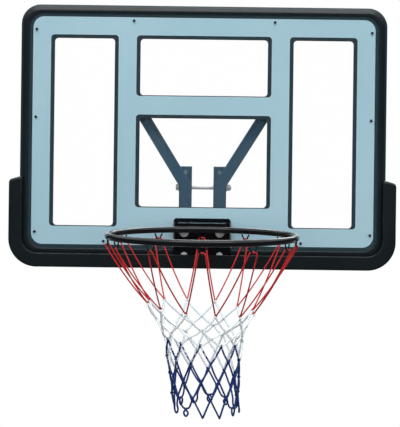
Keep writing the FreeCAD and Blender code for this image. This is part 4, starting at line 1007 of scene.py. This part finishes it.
def sagging(start, end, sag, bulge=0.0):
    """Points of a cord that hangs a little between two knots."""
    outward = (start + end) / 2 - ring_middle
    outward.z = 0
    outward.normalize()
    points = []
    for share in SAG_SHARES:
        hang = 4 * share * (1 - share)
        points.append(start.lerp(end, share) - UP * sag * hang + outward * bulge * hang)
    return points


red_mesh = bmesh.new()
hook_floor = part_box("net_hooks")[0].z + HOOK_WIRE + RED_RADIUS
for index in range(HOOK_COUNT):
    top = about_ring(ring_radius, hook_floor, index)
    right_tip = net_knot(WHITE_TOP, index)
    left_arch, left_shoulder = [top + beside_hook(index, -along, -out, up) for along, out, up in LOOP_SIDE]
    right_arch, right_shoulder = [top + beside_hook(index, along, out, up) for along, out, up in LOOP_SIDE]
    left_leg = sagging(net_knot(WHITE_TOP, index - 1), left_arch, LEG_SAG)
    right_leg = sagging(right_arch, right_tip, LEG_SAG)
    lay_cord(red_mesh, left_leg + [left_shoulder, top, right_shoulder] + right_leg, RED_RADIUS)
    tie_knot(red_mesh, right_tip + UP * LOOP_KNOT_RISE, UP, RED_RADIUS)

white_mesh = bmesh.new()
blue_mesh = bmesh.new()
for row in range(WHITE_TOP, NET_END):
    lead = NET_ROWS[row][2]
    lean = 1 if lead > 0 else 0
    for index in range(HOOK_COUNT):
        mesh, radius = (white_mesh, WHITE_RADIUS) if row < BLUE_TOPS[index] else (blue_mesh, BLUE_RADIUS)
        tie_knot(mesh, net_knot(row, index), along_ring(index + lead), radius)
        for beside in (lean, lean - 1) if row < NET_END - 1 else ():
            sag = MESH_SAG * chance.uniform(*SAG_SPAN)
            bulge = MESH_SAG * chance.uniform(*BULGE_SPAN)
            strand = sagging(net_knot(row, index), net_knot(row + 1, index + beside), sag, bulge)
            lay_cord(mesh, strand, radius)
for index in range(HOOK_COUNT):
    left = net_knot(NET_END - 1, index - 1)
    right = net_knot(NET_END - 1, index)
    foot = net_knot(NET_END, index)
    shape = ROUND_BEND if index in ROUND_ENDS else EYE_BEND if index in EYE_ENDS else POINT_BEND
    bend = [foot + beside_hook(index, *step) for step in shape]
    lay_cord(blue_mesh, [left, left.lerp(foot, 0.5)] + bend + [foot.lerp(right, 0.5), right], BLUE_RADIUS)


def cord_braid_group():
    """Crossing strands of a braided cord, with painted shade in the hollows between them, read from the
    braid's own place on the cord.
    """
    group, feeds, results = shader_group("cord_braid", [
        ("Color", "Color", PLAIN_GREY),
        ("Crease Shade Color", "Color", (0.2, 0.2, 0.2, 1.0)),
        ("Fade Color", "Color", (0.8, 0.8, 0.8, 1.0)),
        ("Fade", "Float", 0.3),
    ], [("Color", "Color"), ("Height", "Float"), ("Roughness", "Float")])
    braid = add_node(group, "ShaderNodeTexCoord").outputs["UV"]
    turn = maths(group, "MULTIPLY", one_axis(group, braid, "X"), 2 * math.pi * BRAID_STRANDS)
    run = maths(group, "MULTIPLY", one_axis(group, braid, "Y"), 2 * math.pi)
    rising = maths(group, "SINE", maths(group, "ADD", turn, run))
    falling = maths(group, "SINE", maths(group, "SUBTRACT", turn, run))
    strands = spread(group, maths(group, "MULTIPLY", rising, falling), -1.0, 1.0)
    place = object_place(group)
    bleached = spread(group, noise(group, place, FADE_SCALE, detail=4.0), *FADE_SPAN)
    fade = maths(group, "MULTIPLY", bleached, feeds["Fade"])
    fibres = noise(group, place, FIBRE_SCALE)
    woven_shaded = mix_colours(group, spread(group, strands, *STRAND_SPAN), feeds["Crease Shade Color"], feeds["Color"])
    strand_part = maths(group, "MULTIPLY", strands, 1 - FIBRE_SHARE)
    fibre_part = maths(group, "MULTIPLY", fibres, FIBRE_SHARE)
    group.links.new(mix_colours(group, fade, woven_shaded, feeds["Fade Color"]), results["Color"])
    group.links.new(maths(group, "ADD", strand_part, fibre_part), results["Height"])
    group.links.new(spread(group, fibres, *FIBRE_ROUGHNESS), results["Roughness"])
    return group


CORD_BRAID = cord_braid_group()


def braided_cord(name, colour, crease_shade, faded, fade):
    """Soft matt braid with a little sheen and painted shade in its creases. Gives back its colour too, for
    the flecks and painted shade laid over it.
    """
    made, tree, shader = bare_material(name)
    braid = use_group(tree, CORD_BRAID, {"Color": colour, "Crease Shade Color": crease_shade, "Fade Color": faded,
                                         "Fade": fade})
    tree.links.new(braid["Color"], shader.inputs["Base Color"])
    tree.links.new(braid["Roughness"], shader.inputs["Roughness"])
    tree.links.new(bumped(tree, braid["Height"], distance=0.0004, strength=0.6), shader.inputs["Normal"])
    shader.inputs["Specular IOR Level"].default_value = 0.1
    shader.inputs["Sheen Weight"].default_value = 0.05
    return made, tree, shader, braid["Color"]


red_cord = braided_cord("red_cord", CORD_RED, RED_CREASE_SHADE, RED_FADED, fade=0.4)[0]
white_cord, white_tree, white_shader, white_colour = braided_cord(
    "white_cord", CORD_WHITE, WHITE_CREASE_SHADE, WHITE_FADED, fade=0.5)
# Painted shade: the white cord is painted greyer toward its rear, behind the ring's middle.
white_depth = one_axis(white_tree, object_place(white_tree), "Y")
rear_shade = spread(white_tree, white_depth, *[ring_middle.y + step for step in REAR_SHADE_SPAN])
rear_shaded_colour = mix_colours(white_tree, rear_shade, white_colour, WHITE_REAR_SHADE)
white_tree.links.new(rear_shaded_colour, white_shader.inputs["Base Color"])
white_shader.inputs["Subsurface Weight"].default_value = 0.8
white_shader.inputs["Subsurface Radius"].default_value = (1.0, 1.0, 1.0)
white_shader.inputs["Subsurface Scale"].default_value = WHITE_RADIUS
blue_cord, blue_tree, blue_shader, blue_colour = braided_cord(
    "blue_cord", CORD_BLUE, BLUE_CREASE_SHADE, BLUE_FADED, fade=0.35)
blue_place = object_place(blue_tree)
blue_height = one_axis(blue_tree, blue_place, "Z")
unsoaked = spread(blue_tree, blue_height, *[ring_middle.z + step for step in FLECK_SPAN])
flecks = spread(blue_tree, noise(blue_tree, blue_place, FLECK_SCALE), *FLECK_EDGE)
fleck_share = maths(blue_tree, "MULTIPLY", unsoaked, flecks, clamp=True)
flecked_colour = mix_colours(blue_tree, fleck_share, blue_colour, CORD_WHITE)
blue_tree.links.new(flecked_colour, blue_shader.inputs["Base Color"])
stand_for(new_piece("net_red_cords", red_mesh, red_cord), "rim", "cord_red", "net_red")
stand_for(new_piece("net_white_cords", white_mesh, white_cord), "rim", "cord_white", "net_white")
stand_for(new_piece("net_blue_cords", blue_mesh, blue_cord), "rim", "cord_blue", "net_blue")

# Floor: a matt grey floor, a ring's standard height below the rim, that throws little light back up. To the
# camera it is white, and so is its far part behind the board in anything that mirrors it.
FLOOR_DROP = 3.05
FLOOR_HALF = 12.0
FLOOR_SQUARES = 8
FLOOR_GREY = (0.06, 0.06, 0.06, 1.0)
FLOOR_BEHIND = (8.0, 11.5)


def background_share(tree, place, near, far):
    """One for rays from the camera, and for mirrored ones that go on behind the board."""
    path = add_node(tree, "ShaderNodeLightPath").outputs
    mirrored = maths(tree, "MAXIMUM", path["Is Glossy Ray"], path["Is Transmission Ray"])
    behind = spread(tree, one_axis(tree, place, "Y"), near, far)
    return maths(tree, "MAXIMUM", path["Is Camera Ray"], maths(tree, "MULTIPLY", mirrored, behind))


floor_mesh = bmesh.new()
bmesh.ops.create_grid(floor_mesh, x_segments=FLOOR_SQUARES, y_segments=FLOOR_SQUARES, size=FLOOR_HALF)
bmesh.ops.translate(floor_mesh, verts=floor_mesh.verts, vec=(0, 0, ring_middle.z - FLOOR_DROP))
floor_finish, floor_tree, floor_shader = bare_material("pale_floor")
floor_shader.inputs["Base Color"].default_value = FLOOR_GREY
floor_shader.inputs["Roughness"].default_value = 0.8
floor_glow = add_node(floor_tree, "ShaderNodeEmission").outputs["Emission"]
floor_white = background_share(floor_tree, object_place(floor_tree), *FLOOR_BEHIND)
floor_mix = add_node(floor_tree, "ShaderNodeMixShader", {0: floor_white, 1: floor_shader.outputs["BSDF"],
                                                         2: floor_glow})
floor_out = floor_tree.nodes["Material Output"]
floor_tree.links.new(floor_mix.outputs["Shader"], floor_out.inputs["Surface"])
floor = new_piece("studio_floor", floor_mesh, floor_finish)

# Studio light: a surround, dim below and bright above, that is white to the camera and straight behind the
# board. A soft box above draws the upper edges, one in front is polarised and so fills without a glint, and
# one behind lights the ironwork.
ROOM_BELOW = 0.06
ROOM_ABOVE = 1.35
ROOM_RISE = (0.30, 0.55)
ROOM_BEHIND = (0.90, 0.995)
LAMP_AIM = Vector((0, -0.1, 0.1))
# Each lamp: its place, width, height and power, and whether glossy pieces mirror it.
LAMPS = [
    ("top_box", (0.0, -2.6, 3.7), 4.4, 0.75, 80.0, True),
    ("front_box", (0.0, -5.0, 0.5), 5.0, 1.6, 144.0, False),
    ("rear_box", (0.6, 2.6, 1.8), 2.0, 2.0, 45.0, True),
]
world = bpy.data.worlds.new("studio_surround")
bpy.context.scene.world = world
world.use_nodes = True
world_tree = world.node_tree
toward = add_node(world_tree, "ShaderNodeTexCoord").outputs["Generated"]
room_light = spread(world_tree, one_axis(world_tree, toward, "Z"), *ROOM_RISE, ROOM_BELOW, ROOM_ABOVE)
room_white = background_share(world_tree, toward, *ROOM_BEHIND)
surround_light = spread(world_tree, room_white, 0.0, 1.0, room_light, 1.0)
world_tree.links.new(surround_light, world_tree.nodes["Background"].inputs["Color"])
for name, place, width, height, power, glints in LAMPS:
    lamp = bpy.data.lights.new(name, "AREA")
    lamp.shape = "RECTANGLE"
    lamp.size = width
    lamp.size_y = height
    lamp.energy = power
    lamp_holder = bpy.data.objects.new(name, lamp)
    lamp_holder.location = place
    lamp_holder.visible_glossy = glints
    aim = LAMP_AIM - Vector(place)
    lamp_holder.rotation_euler = aim.to_track_quat("-Z", "Y").to_euler()
    bpy.context.scene.collection.objects.link(lamp_holder)
bpy.context.scene.view_settings.view_transform = "Standard"

# Camera: level and square on to the board, a little above the ring, and rolled by less than a degree as in
# the photo. The picture is slid down so that it holds the net.
IMAGE_HEIGHT = 427
FOCAL_PIXELS = 990.0
SENSOR = 36.0
EYE = (0.0, -2.908, 0.126)
ROLL = math.radians(0.72)
CENTRE_RIGHT = 2.9
CENTRE_ABOVE = 50.1
lens = bpy.data.cameras.new("player_view")
lens.sensor_width = SENSOR
lens.lens = FOCAL_PIXELS / IMAGE_HEIGHT * SENSOR
lens.shift_x = -CENTRE_RIGHT / IMAGE_HEIGHT
lens.shift_y = -CENTRE_ABOVE / IMAGE_HEIGHT
camera = bpy.data.objects.new("player_view", lens)
camera.location = EYE
camera.rotation_euler = (math.pi / 2, -ROLL, 0)
bpy.context.scene.collection.objects.link(camera)
bpy.context.scene.camera = camera
